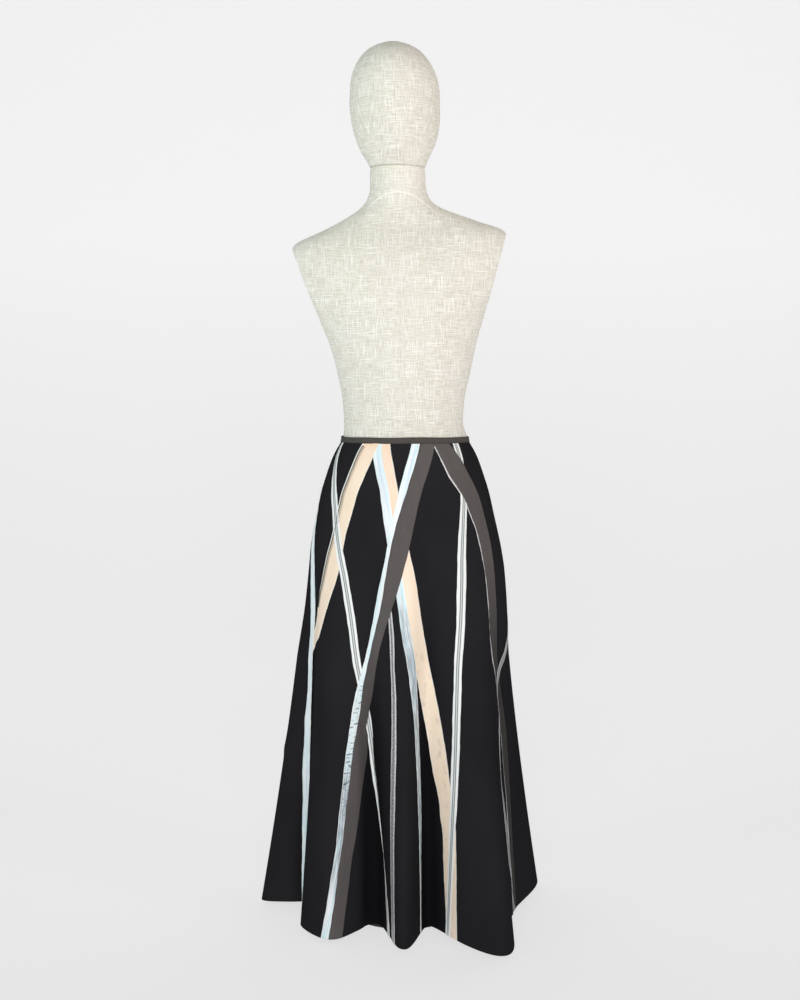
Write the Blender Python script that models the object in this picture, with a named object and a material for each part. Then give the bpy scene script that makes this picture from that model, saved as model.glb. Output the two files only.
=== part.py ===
# Maxi skirt trimmed with sewn-on ribbons, worn on a limbless dress form on a round base.
#
# Metres, +Z up. The origin is the centre of the base's underside. The form's back faces -Y,
# and +X is on the right when looking along +Y. The skirt's cloth is described by two
# coordinates: a place round the girth, and the drop below the waist seam.

import math
from bisect import bisect_right
from collections import namedtuple
from functools import lru_cache

import bpy
from mathutils import Vector

# Skirt
HEM_CLEARANCE = 0.012
SKIRT_DROP = 0.875
WAIST_Z = HEM_CLEARANCE + SKIRT_DROP
CLOTH = 0.0016
SEAM_GAP = 0.0003
BACK_SEAM_DEG = 90.0
FRONT_SEAM_DEG = 270.0

# Folds start just under the hips and grow towards the hem.
FOLD_START = 0.140
FOLD_GROWTH = 1.3
CREST_DIP = 0.004
VALLEY_DIP = -0.006
COLUMNS_PER_FOLD = 7
STEPS_PER_FOLD = 24

# Waistband, a narrow ribbon folded over the top edge
BAND_HEIGHT = 0.0100
BAND_THICKNESS = 0.0030
BAND_PROUD = 0.0014
BAND_TAPER = 0.0016
BAND_COLUMNS = 64

# Ribbons
RIBBON_THICKNESS = 0.0010
RIBBON_STEP = RIBBON_THICKNESS + 0.0007
RIBBON_TOP = 0.003
COVER_MARGIN = 0.009
COVER_RAMP = 0.022
RIBBON_COLUMN = 0.0075
ROW_DROP = 0.050
ROW_SHIFT = 0.014

# Dress form and stand
FORM_SEGMENTS = 36
HEAD_SEGMENTS = 20
SHOULDER_ROLL = 0.067
ROLL_FROM = 0.05
ROLL_RISE = 0.28
NECK_FROM = 0.40
NECK_RISE = 0.05
ARM_PLATE_TIP = (0.196, 0.369)
ARM_PLATE_FOOT = (0.150, 0.227)
BUST_HEIGHT = 0.205
BUST_X = 0.068
BUST_SPREAD = 0.055
BUST_RISE = 0.026
FLANGE_RADIUS = 0.045
FLANGE_HEIGHT = 0.010
POLE_RADIUS = 0.0125
COLLAR_RADIUS = 0.024
COLLAR_HEIGHT = 0.040
BASE_RADIUS = 0.105
BASE_HEIGHT = 0.008
EDGE_ROUNDING = 0.003

# Colours (linear) with roughness and metallic value
Finish = namedtuple("Finish", "red green blue roughness metallic")
FINISHES = {
    "black_crepe": Finish(0.010, 0.010, 0.012, 0.85, 0.0),
    "taupe_ribbon": Finish(0.130, 0.105, 0.098, 0.60, 0.0),
    "peach_satin": Finish(0.830, 0.640, 0.470, 0.45, 0.0),
    "pale_blue_satin": Finish(0.660, 0.800, 0.880, 0.35, 0.0),
    "striped_ribbon": Finish(0.700, 0.730, 0.740, 0.45, 0.0),
    "silver_ribbon": Finish(0.330, 0.330, 0.340, 0.40, 0.2),
    "linen": Finish(0.720, 0.690, 0.610, 0.90, 0.0),
    "stand_metal": Finish(0.020, 0.020, 0.022, 0.45, 0.6),
}

# The worn skirt from the waist to the hips, as half ovals round the form: below the last row
# the cloth hangs straight from the hips, and the folds take over.
BodySection = namedtuple("BodySection", "drop half_width seat_depth belly_depth centre_x")
BODY = [
    BodySection(0.000, 0.1180, 0.0860, 0.0900, 0.0020),
    BodySection(0.012, 0.1256, 0.0895, 0.0935, 0.0020),
    BodySection(0.030, 0.1345, 0.0940, 0.0975, 0.0020),
    BodySection(0.055, 0.1435, 0.0995, 0.1015, 0.0020),
    BodySection(0.090, 0.1545, 0.1070, 0.1055, 0.0022),
    BodySection(0.127, 0.1628, 0.1135, 0.1080, 0.0025),
    BodySection(0.164, 0.1700, 0.1180, 0.1095, 0.0030),
    BodySection(0.200, 0.1745, 0.1200, 0.1100, 0.0045),
    BodySection(0.240, 0.1765, 0.1200, 0.1100, 0.0065),
    BodySection(0.290, 0.1770, 0.1200, 0.1100, 0.0070),
    BodySection(0.400, 0.1770, 0.1200, 0.1100, 0.0020),
]
PANEL_DROPS = [
    0.0, 0.012, 0.030, 0.055, 0.090, 0.127, 0.164,
    0.205, 0.260, 0.335, 0.425, 0.530, 0.640, 0.755, SKIRT_DROP,
]

# The hem seen from above, one row for each crest or valley of a fold, anticlockwise from the
# middle of the back. The fold line springs from the hips at spring_deg, measured round the
# axis from -Y, and the hem passes through (x, y) on a heading, with handles of length reach.
HemFold = namedtuple("HemFold", "name spring_deg x y heading_deg reach dip")
HEM_FOLDS = [
    HemFold("mid crest", 0, 0.000, -0.224, 0, 0.020, CREST_DIP),
    HemFold("mid valley", 13, 0.045, -0.138, 0, 0.015, VALLEY_DIP),
    HemFold("right crest", 44, 0.168, -0.255, 0, 0.042, CREST_DIP),
    HemFold("right valley", 63, 0.194, -0.098, 84, 0.060, VALLEY_DIP),
    HemFold("right side crest", 104, 0.266, 0.138, 86, 0.060, CREST_DIP),
    HemFold("front right valley", 130, 0.165, 0.166, 180, 0.022, VALLEY_DIP),
    HemFold("front right crest", 154, 0.068, 0.242, 180, 0.036, CREST_DIP),
    HemFold("front mid valley", 176, 0.000, 0.160, 180, 0.022, VALLEY_DIP),
    HemFold("front left crest", 204, -0.094, 0.238, 180, 0.038, CREST_DIP),
    HemFold("front left valley", 225, -0.162, 0.168, 184, 0.022, VALLEY_DIP),
    HemFold("corner crest", 240, -0.222, 0.178, 215, 0.026, CREST_DIP),
    HemFold("corner valley", 254, -0.236, 0.106, 268, 0.022, VALLEY_DIP),
    HemFold("left side crest", 272, -0.272, 0.030, 290, 0.024, CREST_DIP),
    HemFold("left valley", 291, -0.176, -0.028, 275, 0.030, VALLEY_DIP),
    HemFold("left edge", 302, -0.187, -0.122, 290, 0.024, 0.0),
    HemFold("left crest", 317, -0.127, -0.176, 5, 0.026, CREST_DIP),
    HemFold("left mid valley", 337, -0.052, -0.131, 0, 0.020, VALLEY_DIP),
]

# Dress form sections from the thigh end to the neck. height is above the waist seam.
FormSection = namedtuple("FormSection", "height half_width back_depth front_depth centre_x")
TORSO = [
    FormSection(-0.330, 0.1180, 0.0760, 0.0740, 0.002),
    FormSection(-0.322, 0.1380, 0.0910, 0.0860, 0.002),
    FormSection(-0.295, 0.1540, 0.1040, 0.0960, 0.002),
    FormSection(-0.240, 0.1660, 0.1120, 0.1030, 0.002),
    FormSection(-0.190, 0.1690, 0.1150, 0.1060, 0.002),
    FormSection(-0.160, 0.1650, 0.1130, 0.1060, 0.002),
    FormSection(-0.127, 0.1580, 0.1090, 0.1040, 0.002),
    FormSection(-0.090, 0.1500, 0.1030, 0.1015, 0.002),
    FormSection(-0.055, 0.1390, 0.0955, 0.0980, 0.002),
    FormSection(-0.025, 0.1275, 0.0885, 0.0925, 0.002),
    FormSection(0.000, 0.1150, 0.0830, 0.0870, 0.002),
    FormSection(0.0105, 0.1138, 0.0818, 0.0858, 0.002),
    FormSection(0.035, 0.1098, 0.0795, 0.0835, -0.001),
    FormSection(0.077, 0.1124, 0.0820, 0.0850, -0.001),
    FormSection(0.126, 0.1222, 0.0880, 0.0890, 0.000),
    FormSection(0.177, 0.1340, 0.0940, 0.0930, -0.001),
    FormSection(0.227, 0.1520, 0.0980, 0.0970, -0.003),
    FormSection(0.277, 0.1860, 0.0985, 0.0970, -0.005),
    FormSection(0.311, 0.2020, 0.0940, 0.0930, -0.007),
    FormSection(0.340, 0.2070, 0.0860, 0.0840, -0.008),
    FormSection(0.360, 0.2030, 0.0780, 0.0740, -0.009),
    FormSection(0.375, 0.1875, 0.0700, 0.0640, -0.009),
    FormSection(0.392, 0.1450, 0.0620, 0.0580, -0.009),
    FormSection(0.4115, 0.1000, 0.0560, 0.0560, -0.009),
    FormSection(0.424, 0.0760, 0.0530, 0.0570, -0.009),
    FormSection(0.441, 0.0580, 0.0500, 0.0590, -0.010),
    FormSection(0.460, 0.0515, 0.0480, 0.0600, -0.011),
    FormSection(0.4985, 0.0497, 0.0470, 0.0620, -0.012),
]
HEAD = [
    FormSection(0.4988, 0.0500, 0.0475, 0.0625, -0.012),
    FormSection(0.5130, 0.0565, 0.0600, 0.0780, -0.013),
    FormSection(0.5276, 0.0645, 0.0710, 0.0900, -0.014),
    FormSection(0.5490, 0.0735, 0.0820, 0.1000, -0.014),
    FormSection(0.5706, 0.0790, 0.0890, 0.1040, -0.015),
    FormSection(0.5920, 0.0815, 0.0930, 0.1050, -0.016),
    FormSection(0.6135, 0.0822, 0.0960, 0.1040, -0.017),
    FormSection(0.6350, 0.0815, 0.0965, 0.1020, -0.017),
    FormSection(0.6563, 0.0785, 0.0940, 0.0980, -0.018),
    FormSection(0.6776, 0.0707, 0.0860, 0.0890, -0.019),
    FormSection(0.6990, 0.0562, 0.0690, 0.0720, -0.020),
    FormSection(0.7120, 0.0400, 0.0490, 0.0510, -0.020),
    FormSection(0.7205, 0.0190, 0.0240, 0.0250, -0.020),
]
HEAD_TOP = 0.7237

# Ribbons from the lowest layer to the topmost. Each lies at a height of seat over the cloth, and
# its path goes through (spring_deg, drop) points.
Ribbon = namedtuple("Ribbon", "name finish width seat path")
RIBBONS = [
    Ribbon("ribbon_silver_edging", "silver_ribbon", 0.010, 0.0013, [
        (27, 0), (34.5, 0.05), (46, 0.11), (51, 0.16), (53, 0.28),
        (54, 0.38), (60, 0.46), (65.5, 0.55), (66, 0.75), (68, SKIRT_DROP),
    ]),
    Ribbon("ribbon_peach_right", "peach_satin", 0.030, 0.0013, [
        (-20.5, 0), (-14, 0.05), (-8.3, 0.11), (3.7, 0.31), (11, 0.43),
        (20.6, 0.59), (24.6, 0.70), (25.2, SKIRT_DROP),
    ]),
    Ribbon("ribbon_silver_centre", "silver_ribbon", 0.012, 0.0013, [
        (-11.2, 0.285), (-8.1, 0.37), (-6.2, 0.51), (-7.5, 0.73), (-7, SKIRT_DROP),
    ]),
    Ribbon("ribbon_blue_centre", "pale_blue_satin", 0.015, 0.0013, [
        (-25, 0), (-18.6, 0.05), (-14.2, 0.086), (-2, 0.31), (4.2, 0.415),
        (6.4, 0.535), (7.6, 0.70), (7.7, SKIRT_DROP),
    ]),
    Ribbon("ribbon_peach_left", "peach_satin", 0.033, 0.0013, [
        (-31.5, 0), (-34.5, 0.03), (-40.4, 0.09), (-44.6, 0.16), (-50.6, 0.23),
        (-60, 0.32), (-66, 0.42), (-68.5, 0.60), (-69, SKIRT_DROP),
    ]),
    Ribbon("ribbon_blue_side", "pale_blue_satin", 0.014, 0.0013, [
        (-104, 0), (-93, 0.08), (-83.5, 0.14), (-78, 0.19), (-75.3, 0.25),
        (-72.5, 0.36), (-73, 0.60), (-72, SKIRT_DROP),
    ]),
    Ribbon("ribbon_striped_left", "striped_ribbon", 0.014, 0.0013, [
        (-75, 0), (-52.5, 0.115), (-43.3, 0.196), (-30.2, 0.40), (-23.8, 0.51),
        (-19, 0.64), (-14, 0.775), (-11.6, SKIRT_DROP),
    ]),
    Ribbon("ribbon_striped_right", "striped_ribbon", 0.014, 0.0013, [
        (49.5, 0), (42.7, 0.09), (33, 0.23), (30.5, 0.40), (28.2, 0.58),
        (25.6, 0.74), (23.4, SKIRT_DROP),
    ]),
    Ribbon("ribbon_blue_left", "pale_blue_satin", 0.015, 0.0013, [
        (9.2, 0), (3.2, 0.045), (-9.3, 0.187), (-22, 0.37), (-34, 0.53),
        (-41.4, 0.74), (-45.9, SKIRT_DROP),
    ]),
    Ribbon("ribbon_taupe_left", "taupe_ribbon", 0.028, 0.0013, [
        (20, 0), (6, 0.085), (-3.7, 0.185), (-17, 0.37), (-29.5, 0.56),
        (-37, 0.74), (-42, SKIRT_DROP),
    ]),
    Ribbon("ribbon_taupe_right", "taupe_ribbon", 0.033, 0.0013, [
        (33.5, 0), (41.5, 0.05), (50.5, 0.108), (55, 0.17), (56, 0.275),
        (57.5, 0.38), (63, 0.46), (69, 0.55), (70, 0.65), (70, SKIRT_DROP),
    ]),
    Ribbon("ribbon_silver_side", "silver_ribbon", 0.010, 0.0020, [
        (185, 0), (150, 0.12), (116, 0.265), (92, 0.355), (79, 0.391), (66, 0.42), (60.5, 0.45),
        (58, 0.52), (58, 0.60), (61, 0.66), (63.5, 0.72), (65, 0.78), (68, 0.836), (70, SKIRT_DROP),
    ]),
]


def hermite(x, xs, ys):
    """A smooth curve through the points (xs, ys), with xs increasing. It is flat past the ends."""
    if x <= xs[0]:
        return ys[0]
    if x >= xs[-1]:
        return ys[-1]
    i = bisect_right(xs, x) - 1

    def secant(k):
        return (ys[k + 1] - ys[k]) / (xs[k + 1] - xs[k])

    def slope(k):
        if k == 0 or k == len(xs) - 1:
            return secant(min(k, len(xs) - 2))
        before, after = secant(k - 1), secant(k)
        return 0.0 if before * after <= 0 else 2 * before * after / (before + after)

    width = xs[i + 1] - xs[i]
    u = (x - xs[i]) / width
    return (
        ys[i] * (1 + 2 * u) * (1 - u) ** 2
        + ys[i + 1] * u * u * (3 - 2 * u)
        + width * slope(i) * u * (1 - u) ** 2
        - width * slope(i + 1) * u * u * (1 - u)
    )


def along(table, key, field, x):
    """A column of a table as a smooth function of its key column."""
    return hermite(x, [getattr(row, key) for row in table], [getattr(row, field) for row in table])


def smooth_step(x):
    x = min(1.0, max(0.0, x))
    return x * x * (3 - 2 * x)


def hem_at(t):
    """The hem's x, y and dip at fold coordinate t, which counts the rows of HEM_FOLDS."""
    first = HEM_FOLDS[int(t) % len(HEM_FOLDS)]
    second = HEM_FOLDS[(int(t) + 1) % len(HEM_FOLDS)]
    u = t - int(t)
    start, end = Vector((first.x, first.y)), Vector((second.x, second.y))
    leave, arrive = math.radians(first.heading_deg), math.radians(second.heading_deg)
    handle_1 = start + first.reach * Vector((math.cos(leave), math.sin(leave)))
    handle_2 = end - second.reach * Vector((math.cos(arrive), math.sin(arrive)))
    place = (
        start * (1 - u) ** 3
        + handle_1 * 3 * u * (1 - u) ** 2
        + handle_2 * 3 * u * u * (1 - u)
        + end * u**3
    )
    dip = first.dip + (second.dip - first.dip) * smooth_step(u)
    return place.x, place.y, dip


def spring_deg(t):
    """Where the cloth at fold coordinate t springs from the hips, in degrees from -Y."""
    count = len(HEM_FOLDS)
    turns, t = divmod(t, count)
    knots = range(-1, count + 2)
    angles = [HEM_FOLDS[k % count].spring_deg + 360 * (k // count) for k in knots]
    return hermite(t, list(knots), angles) + 360 * turns


TABLE_END = len(HEM_FOLDS) * STEPS_PER_FOLD
T_TABLE = [k / STEPS_PER_FOLD for k in range(-TABLE_END, TABLE_END + 1)]
SPRING_TABLE = [spring_deg(t) for t in T_TABLE]


def between(x, xs, ys):
    """Straight-line interpolation in increasing xs."""
    i = min(max(bisect_right(xs, x) - 1, 0), len(xs) - 2)
    return ys[i] + (ys[i + 1] - ys[i]) * (x - xs[i]) / (xs[i + 1] - xs[i])


def fold_coordinate(degrees):
    return between(degrees, SPRING_TABLE, T_TABLE)


def fold_share(drop):
    """How much of the hem's folds shows at a drop, from 0 at the hips to 1 at the hem."""
    return max(0.0, (drop - FOLD_START) / (SKIRT_DROP - FOLD_START)) ** FOLD_GROWTH


def skirt_point(t, drop):
    """A point of the skirt's outer face."""
    angle = math.radians(spring_deg(t))
    half_width = along(BODY, "drop", "half_width", drop)
    depth = along(BODY, "drop", "seat_depth" if math.cos(angle) > 0 else "belly_depth", drop)
    body_x = along(BODY, "drop", "centre_x", drop) + half_width * math.sin(angle)
    body_y = -depth * math.cos(angle)
    hem_x, hem_y, dip = hem_at(t % len(HEM_FOLDS))
    share = fold_share(drop)
    return Vector((
        body_x + (hem_x - body_x) * share,
        body_y + (hem_y - body_y) * share,
        WAIST_Z - drop - dip * share,
    ))


def facet_point(t, drop):
    """The point of the panels' flat facets at (t, drop), which cut the folds' corners a little."""
    column = math.floor(t * COLUMNS_PER_FOLD)
    row = min(bisect_right(PANEL_DROPS, drop), len(PANEL_DROPS) - 1) - 1
    left, right = column / COLUMNS_PER_FOLD, (column + 1) / COLUMNS_PER_FOLD
    above, below = PANEL_DROPS[row], PANEL_DROPS[row + 1]
    across = t * COLUMNS_PER_FOLD - column
    down = (drop - above) / (below - above)
    upper = skirt_point(left, above).lerp(skirt_point(right, above), across)
    lower = skirt_point(left, below).lerp(skirt_point(right, below), across)
    return upper.lerp(lower, down)


def skirt_normal(t, drop):
    step_t, step_drop = 0.02, 0.004
    round_girth = skirt_point(t + step_t, drop) - skirt_point(t - step_t, drop)
    down = skirt_point(t, drop + step_drop) - skirt_point(t, max(0.0, drop - step_drop))
    return down.cross(round_girth).normalized()


@lru_cache(maxsize=None)
def girth(drop):
    """The distance round the section at a drop, from t = 0, at each t of T_TABLE."""
    points = [skirt_point(t, drop) for t in T_TABLE]
    lengths = [0.0]
    for a, b in zip(points, points[1:]):
        lengths.append(lengths[-1] + (b - a).length)
    start = lengths[T_TABLE.index(0.0)]
    return [length - start for length in lengths]


def reach_at(t, drop):
    return between(t, T_TABLE, girth(drop))


def coordinate_at(reach, drop):
    return between(reach, girth(drop), T_TABLE)


@lru_cache(maxsize=None)
def ribbon_centre(index, drop):
    """(distance round the girth, cosine of the slant) of a ribbon's centre line at a drop."""
    path = RIBBONS[index].path

    def on_line(at):
        return fold_coordinate(hermite(at, [p[1] for p in path], [p[0] for p in path]))

    step = 0.01
    low, high = max(path[0][1], drop - step), min(path[-1][1], drop + step)
    run = skirt_point(on_line(high), high) - skirt_point(on_line(low), low)
    t = on_line(drop)
    level = skirt_point(t + 0.02, drop) - skirt_point(t - 0.02, drop)
    slant = run.normalized().dot(level.normalized())
    return reach_at(t, drop), math.sqrt(max(0.2, 1 - slant * slant))


def ribbon_lift(index, reach, drop):
    """How high a ribbon's underside lies above the cloth: it climbs over the ones below it."""
    lift = RIBBONS[index].seat
    for lower in range(index):
        ribbon = RIBBONS[lower]
        first, last = ribbon.path[0][1], ribbon.path[-1][1]
        if not first - COVER_RAMP < drop < last + COVER_RAMP:
            continue
        at = min(max(drop, first), last)
        centre, cosine = ribbon_centre(lower, at)
        away = abs(reach - centre) * cosine - ribbon.width / 2 - COVER_MARGIN
        lift += RIBBON_STEP * (1 - smooth_step(away / COVER_RAMP))
    return lift


def material(name):
    found = bpy.data.materials.get(name)
    if found:
        return found
    finish = FINISHES[name]
    made = bpy.data.materials.new(name)
    made.use_nodes = True
    shader = made.node_tree.nodes["Principled BSDF"]
    shader.inputs["Base Color"].default_value = (finish.red, finish.green, finish.blue, 1)
    shader.inputs["Roughness"].default_value = finish.roughness
    shader.inputs["Metallic"].default_value = finish.metallic
    return made


def add_object(name, points, faces, finish):
    mesh = bpy.data.meshes.new(name)
    mesh.from_pydata([tuple(p) for p in points], [], faces)
    mesh.shade_smooth()
    mesh.set_sharp_from_angle(angle=math.radians(40))
    mesh.materials.append(material(finish))
    made = bpy.data.objects.new(name, mesh)
    bpy.context.collection.objects.link(made)
    return made


def add_wall(name, outer, inner, finish):
    """A thin wall between two grids of points, outer rows top to bottom and left to right."""
    rows, columns = len(outer), len(outer[0])
    points = [p for row in outer for p in row] + [p for row in inner for p in row]
    under = rows * columns
    faces = []

    def quad(a, b, c, d):
        """Two triangles split along the shorter diagonal, which lies closest to the cloth."""
        if (points[a] - points[c]).length <= (points[b] - points[d]).length:
            faces.extend([(a, b, c), (a, c, d)])
        else:
            faces.extend([(a, b, d), (b, c, d)])

    for r in range(rows - 1):
        for c in range(columns - 1):
            a, b = r * columns + c, (r + 1) * columns + c
            quad(a, b, b + 1, a + 1)
            quad(under + a, under + a + 1, under + b + 1, under + b)
    for c in range(columns - 1):
        bottom = (rows - 1) * columns + c
        quad(c, c + 1, under + c + 1, under + c)
        quad(bottom + 1, bottom, under + bottom, under + bottom + 1)
    for r in range(rows - 1):
        left, right = r * columns, (r + 1) * columns - 1
        quad(left + columns, left, under + left, under + left + columns)
        quad(right, right + columns, under + right + columns, under + right)
    return add_object(name, points, faces, finish)


def panel(name, from_deg, to_deg):
    """A skirt panel from one side seam to the other, with half the seam's gap off each end."""
    start, end = fold_coordinate(from_deg), fold_coordinate(to_deg)
    first, last = math.ceil(start * COLUMNS_PER_FOLD), math.floor(end * COLUMNS_PER_FOLD)
    inside = [k / COLUMNS_PER_FOLD for k in range(first, last + 1)]
    shy = 0.3 / COLUMNS_PER_FOLD
    inside = [t for t in inside if start + shy < t < end - shy]
    outer, inner = [], []
    for drop in PANEL_DROPS:
        seam_start = coordinate_at(reach_at(start, drop) + SEAM_GAP / 2, drop)
        seam_end = coordinate_at(reach_at(end, drop) - SEAM_GAP / 2, drop)
        columns = [seam_start, *inside, seam_end]
        outer.append([skirt_point(t, drop) for t in columns])
        inner.append([
            skirt_point(t, drop) - CLOTH * skirt_normal(t, drop) for t in columns
        ])
    return add_wall(name, outer, inner, "black_crepe")


def waistband():
    """A band open at the left side seam, where the skirt fastens."""
    seam = math.radians(FRONT_SEAM_DEG)
    top_row = BODY[0]
    shy = SEAM_GAP / 2 / top_row.half_width
    outer, inner = [], []
    for height in (BAND_HEIGHT, 0.0):
        taper = BAND_TAPER * height / BAND_HEIGHT
        ring_out, ring_in = [], []
        for k in range(BAND_COLUMNS + 1):
            angle = seam - 2 * math.pi + shy + (2 * math.pi - 2 * shy) * k / BAND_COLUMNS
            depth = top_row.seat_depth if math.cos(angle) > 0 else top_row.belly_depth
            for ring, out in ((ring_out, BAND_PROUD), (ring_in, BAND_PROUD - BAND_THICKNESS)):
                grow = out - taper
                ring.append(Vector((
                    top_row.centre_x + (top_row.half_width + grow) * math.sin(angle),
                    -(depth + grow) * math.cos(angle),
                    WAIST_Z + SEAM_GAP + height,
                )))
        outer.append(ring_out)
        inner.append(ring_in)
    return add_wall("waistband", outer, inner, "taupe_ribbon")


def ribbon_rows(index):
    """The drops of a ribbon's rows: the panels' own, and more where it is long or slanting."""
    path = RIBBONS[index].path
    first = max(path[0][1], RIBBON_TOP)
    last = min(path[-1][1], SKIRT_DROP - SEAM_GAP)
    stops = [first, *(drop for drop in PANEL_DROPS if first + RIBBON_TOP < drop < last), last]
    rows = []
    for above, below in zip(stops, stops[1:]):
        shift = abs(ribbon_centre(index, below)[0] - ribbon_centre(index, above)[0])
        count = max(1, math.ceil((below - above) / ROW_DROP), math.ceil(shift / ROW_SHIFT))
        rows += [above + (below - above) * k / count for k in range(count)]
    return [*rows, last]


def ribbon(index):
    """A ribbon laid on the skirt: its rows follow the cloth's own points, moved out."""
    row = RIBBONS[index]
    drops = ribbon_rows(index)
    widest = max(row.width / ribbon_centre(index, drop)[1] for drop in drops)
    across = round(widest / RIBBON_COLUMN) + 1
    outer, inner = [], []
    for drop in drops:
        centre, cosine = ribbon_centre(index, drop)
        high, low = [], []
        for c in range(across):
            reach = centre + row.width / cosine * (c / (across - 1) - 0.5)
            t = coordinate_at(reach, drop)
            point, normal = facet_point(t, drop), skirt_normal(t, drop)
            lift = ribbon_lift(index, reach, drop)
            low.append(point + normal * lift)
            high.append(point + normal * (lift + RIBBON_THICKNESS))
        outer.append(high)
        inner.append(low)
    return add_wall(row.name, outer, inner, row.finish)


def arm_plate(height):
    """How far out the form's flat arm plates let a section reach."""
    tip_x, tip_height = ARM_PLATE_TIP
    foot_x, foot_height = ARM_PLATE_FOOT
    if height < foot_height:
        return math.inf
    return foot_x + (tip_x - foot_x) * (height - foot_height) / (tip_height - foot_height)


def form_ring(table, height, segments):
    """One level section of the dress form, as a list of points."""
    half_width = along(table, "height", "half_width", height)
    centre_x = along(table, "height", "centre_x", height)
    roll = smooth_step((height - ROLL_FROM) / ROLL_RISE)
    roll *= 1 - smooth_step((height - NECK_FROM) / NECK_RISE)
    ring = []
    for k in range(segments):
        angle = 2 * math.pi * k / segments
        side = "back_depth" if math.cos(angle) > 0 else "front_depth"
        x = half_width * math.sin(angle)
        y = -along(table, "height", side, height) * math.cos(angle)
        if y > 0:
            rise = math.exp(-(((height - BUST_HEIGHT) / BUST_SPREAD) ** 2))
            for breast_x in (-BUST_X, BUST_X):
                near = math.exp(-(((x - breast_x) / BUST_SPREAD) ** 2))
                y += BUST_RISE * rise * near * -math.cos(angle)
        x = min(max(x, -arm_plate(height)), arm_plate(height))
        ring.append(Vector((centre_x + x, y, WAIST_Z + height + SHOULDER_ROLL * roll * x)))
    return ring


def add_loft(name, rings, finish, pole=None):
    """A closed body through level rings. The top closes on a pole, or flat."""
    segments = len(rings[0])
    points = [p for ring in rings for p in ring]
    faces = [tuple(reversed(range(segments)))]
    for r in range(len(rings) - 1):
        for k in range(segments):
            a, b = r * segments + k, r * segments + (k + 1) % segments
            faces.append((a, b, b + segments, a + segments))
    top = (len(rings) - 1) * segments
    if pole is None:
        faces.append(tuple(range(top, top + segments)))
    else:
        points.append(pole)
        for k in range(segments):
            faces.append((top + k, top + (k + 1) % segments, len(points) - 1))
    return add_object(name, points, faces, finish)


def dress_form():
    add_loft(
        "form_torso", [form_ring(TORSO, row.height, FORM_SEGMENTS) for row in TORSO], "linen"
    )
    pole = Vector((HEAD[-1].centre_x, 0, WAIST_Z + HEAD_TOP))
    add_loft(
        "form_head", [form_ring(HEAD, row.height, HEAD_SEGMENTS) for row in HEAD], "linen", pole
    )


def turned(name, profile, segments, finish):
    """A round piece on the Z axis from (radius, height) points, bottom to top."""
    rings = []
    for radius, height in profile:
        rings.append([
            Vector((
                radius * math.cos(2 * math.pi * k / segments),
                radius * math.sin(2 * math.pi * k / segments),
                height,
            ))
            for k in range(segments)
        ])
    return add_loft(name, rings, finish)


def plate_profile(radius, bottom, top):
    """A disc's outline with its top edge rounded."""
    corner = [
        (
            radius - EDGE_ROUNDING * (1 - math.cos(turn)),
            top - EDGE_ROUNDING * (1 - math.sin(turn)),
        )
        for turn in (0, math.pi / 4, math.pi / 2)
    ]
    return [(radius, bottom), *corner]


def stand():
    form_bottom = WAIST_Z + TORSO[0].height
    flange_bottom = form_bottom - SEAM_GAP - FLANGE_HEIGHT
    collar_top = BASE_HEIGHT + SEAM_GAP + COLLAR_HEIGHT
    turned("form_base", plate_profile(BASE_RADIUS, 0.0, BASE_HEIGHT), 48, "stand_metal")
    turned(
        "form_collar",
        plate_profile(COLLAR_RADIUS, BASE_HEIGHT + SEAM_GAP, collar_top),
        32,
        "stand_metal",
    )
    turned(
        "form_pole",
        [(POLE_RADIUS, collar_top + SEAM_GAP), (POLE_RADIUS, flange_bottom - SEAM_GAP)],
        24,
        "stand_metal",
    )
    turned(
        "form_flange",
        [(FLANGE_RADIUS, flange_bottom), (FLANGE_RADIUS, form_bottom - SEAM_GAP)],
        32,
        "stand_metal",
    )


def main():
    for old in list(bpy.data.objects):
        bpy.data.objects.remove(old)
    panel("skirt_back", FRONT_SEAM_DEG - 360, BACK_SEAM_DEG)
    panel("skirt_front", BACK_SEAM_DEG, FRONT_SEAM_DEG)
    waistband()
    for index in range(len(RIBBONS)):
        ribbon(index)
    dress_form()
    stand()


main()
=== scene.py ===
# Maxi skirt trimmed with sewn-on ribbons, on a limbless linen dress form.
# Metres, on the frame's own axes. The form's back faces -Y, and that is the side that shows.

import math

import bpy
import numpy as np
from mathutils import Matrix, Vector


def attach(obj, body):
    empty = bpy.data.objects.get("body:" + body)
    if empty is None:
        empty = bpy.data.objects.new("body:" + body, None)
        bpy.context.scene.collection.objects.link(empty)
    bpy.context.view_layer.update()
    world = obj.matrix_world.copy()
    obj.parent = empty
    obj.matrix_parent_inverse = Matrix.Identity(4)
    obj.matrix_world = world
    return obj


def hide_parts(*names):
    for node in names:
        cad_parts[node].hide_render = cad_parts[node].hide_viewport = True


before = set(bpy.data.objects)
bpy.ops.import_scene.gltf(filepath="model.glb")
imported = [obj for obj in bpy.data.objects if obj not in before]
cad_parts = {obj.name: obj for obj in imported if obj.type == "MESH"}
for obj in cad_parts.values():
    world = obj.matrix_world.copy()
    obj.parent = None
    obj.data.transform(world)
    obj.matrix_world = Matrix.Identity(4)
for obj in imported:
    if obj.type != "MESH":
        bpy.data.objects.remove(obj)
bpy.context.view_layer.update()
print("frame loaded")


# Shapes that every piece is measured from

skirt = {
    "hemClearance": 0.012,
    "drop": 0.875,
    "cloth": 0.0012,
    "seamGap": 0.0003,
    "backSeam": 90.0,
    "frontSeam": 270.0,
    "foldStart": 0.140,
    "foldGrowth": 1.3,
    "columnsPerFold": 24,
    "rowStep": 0.0062,
    "lean": 0.16,
}
waistZ = skirt["hemClearance"] + skirt["drop"]

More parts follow.
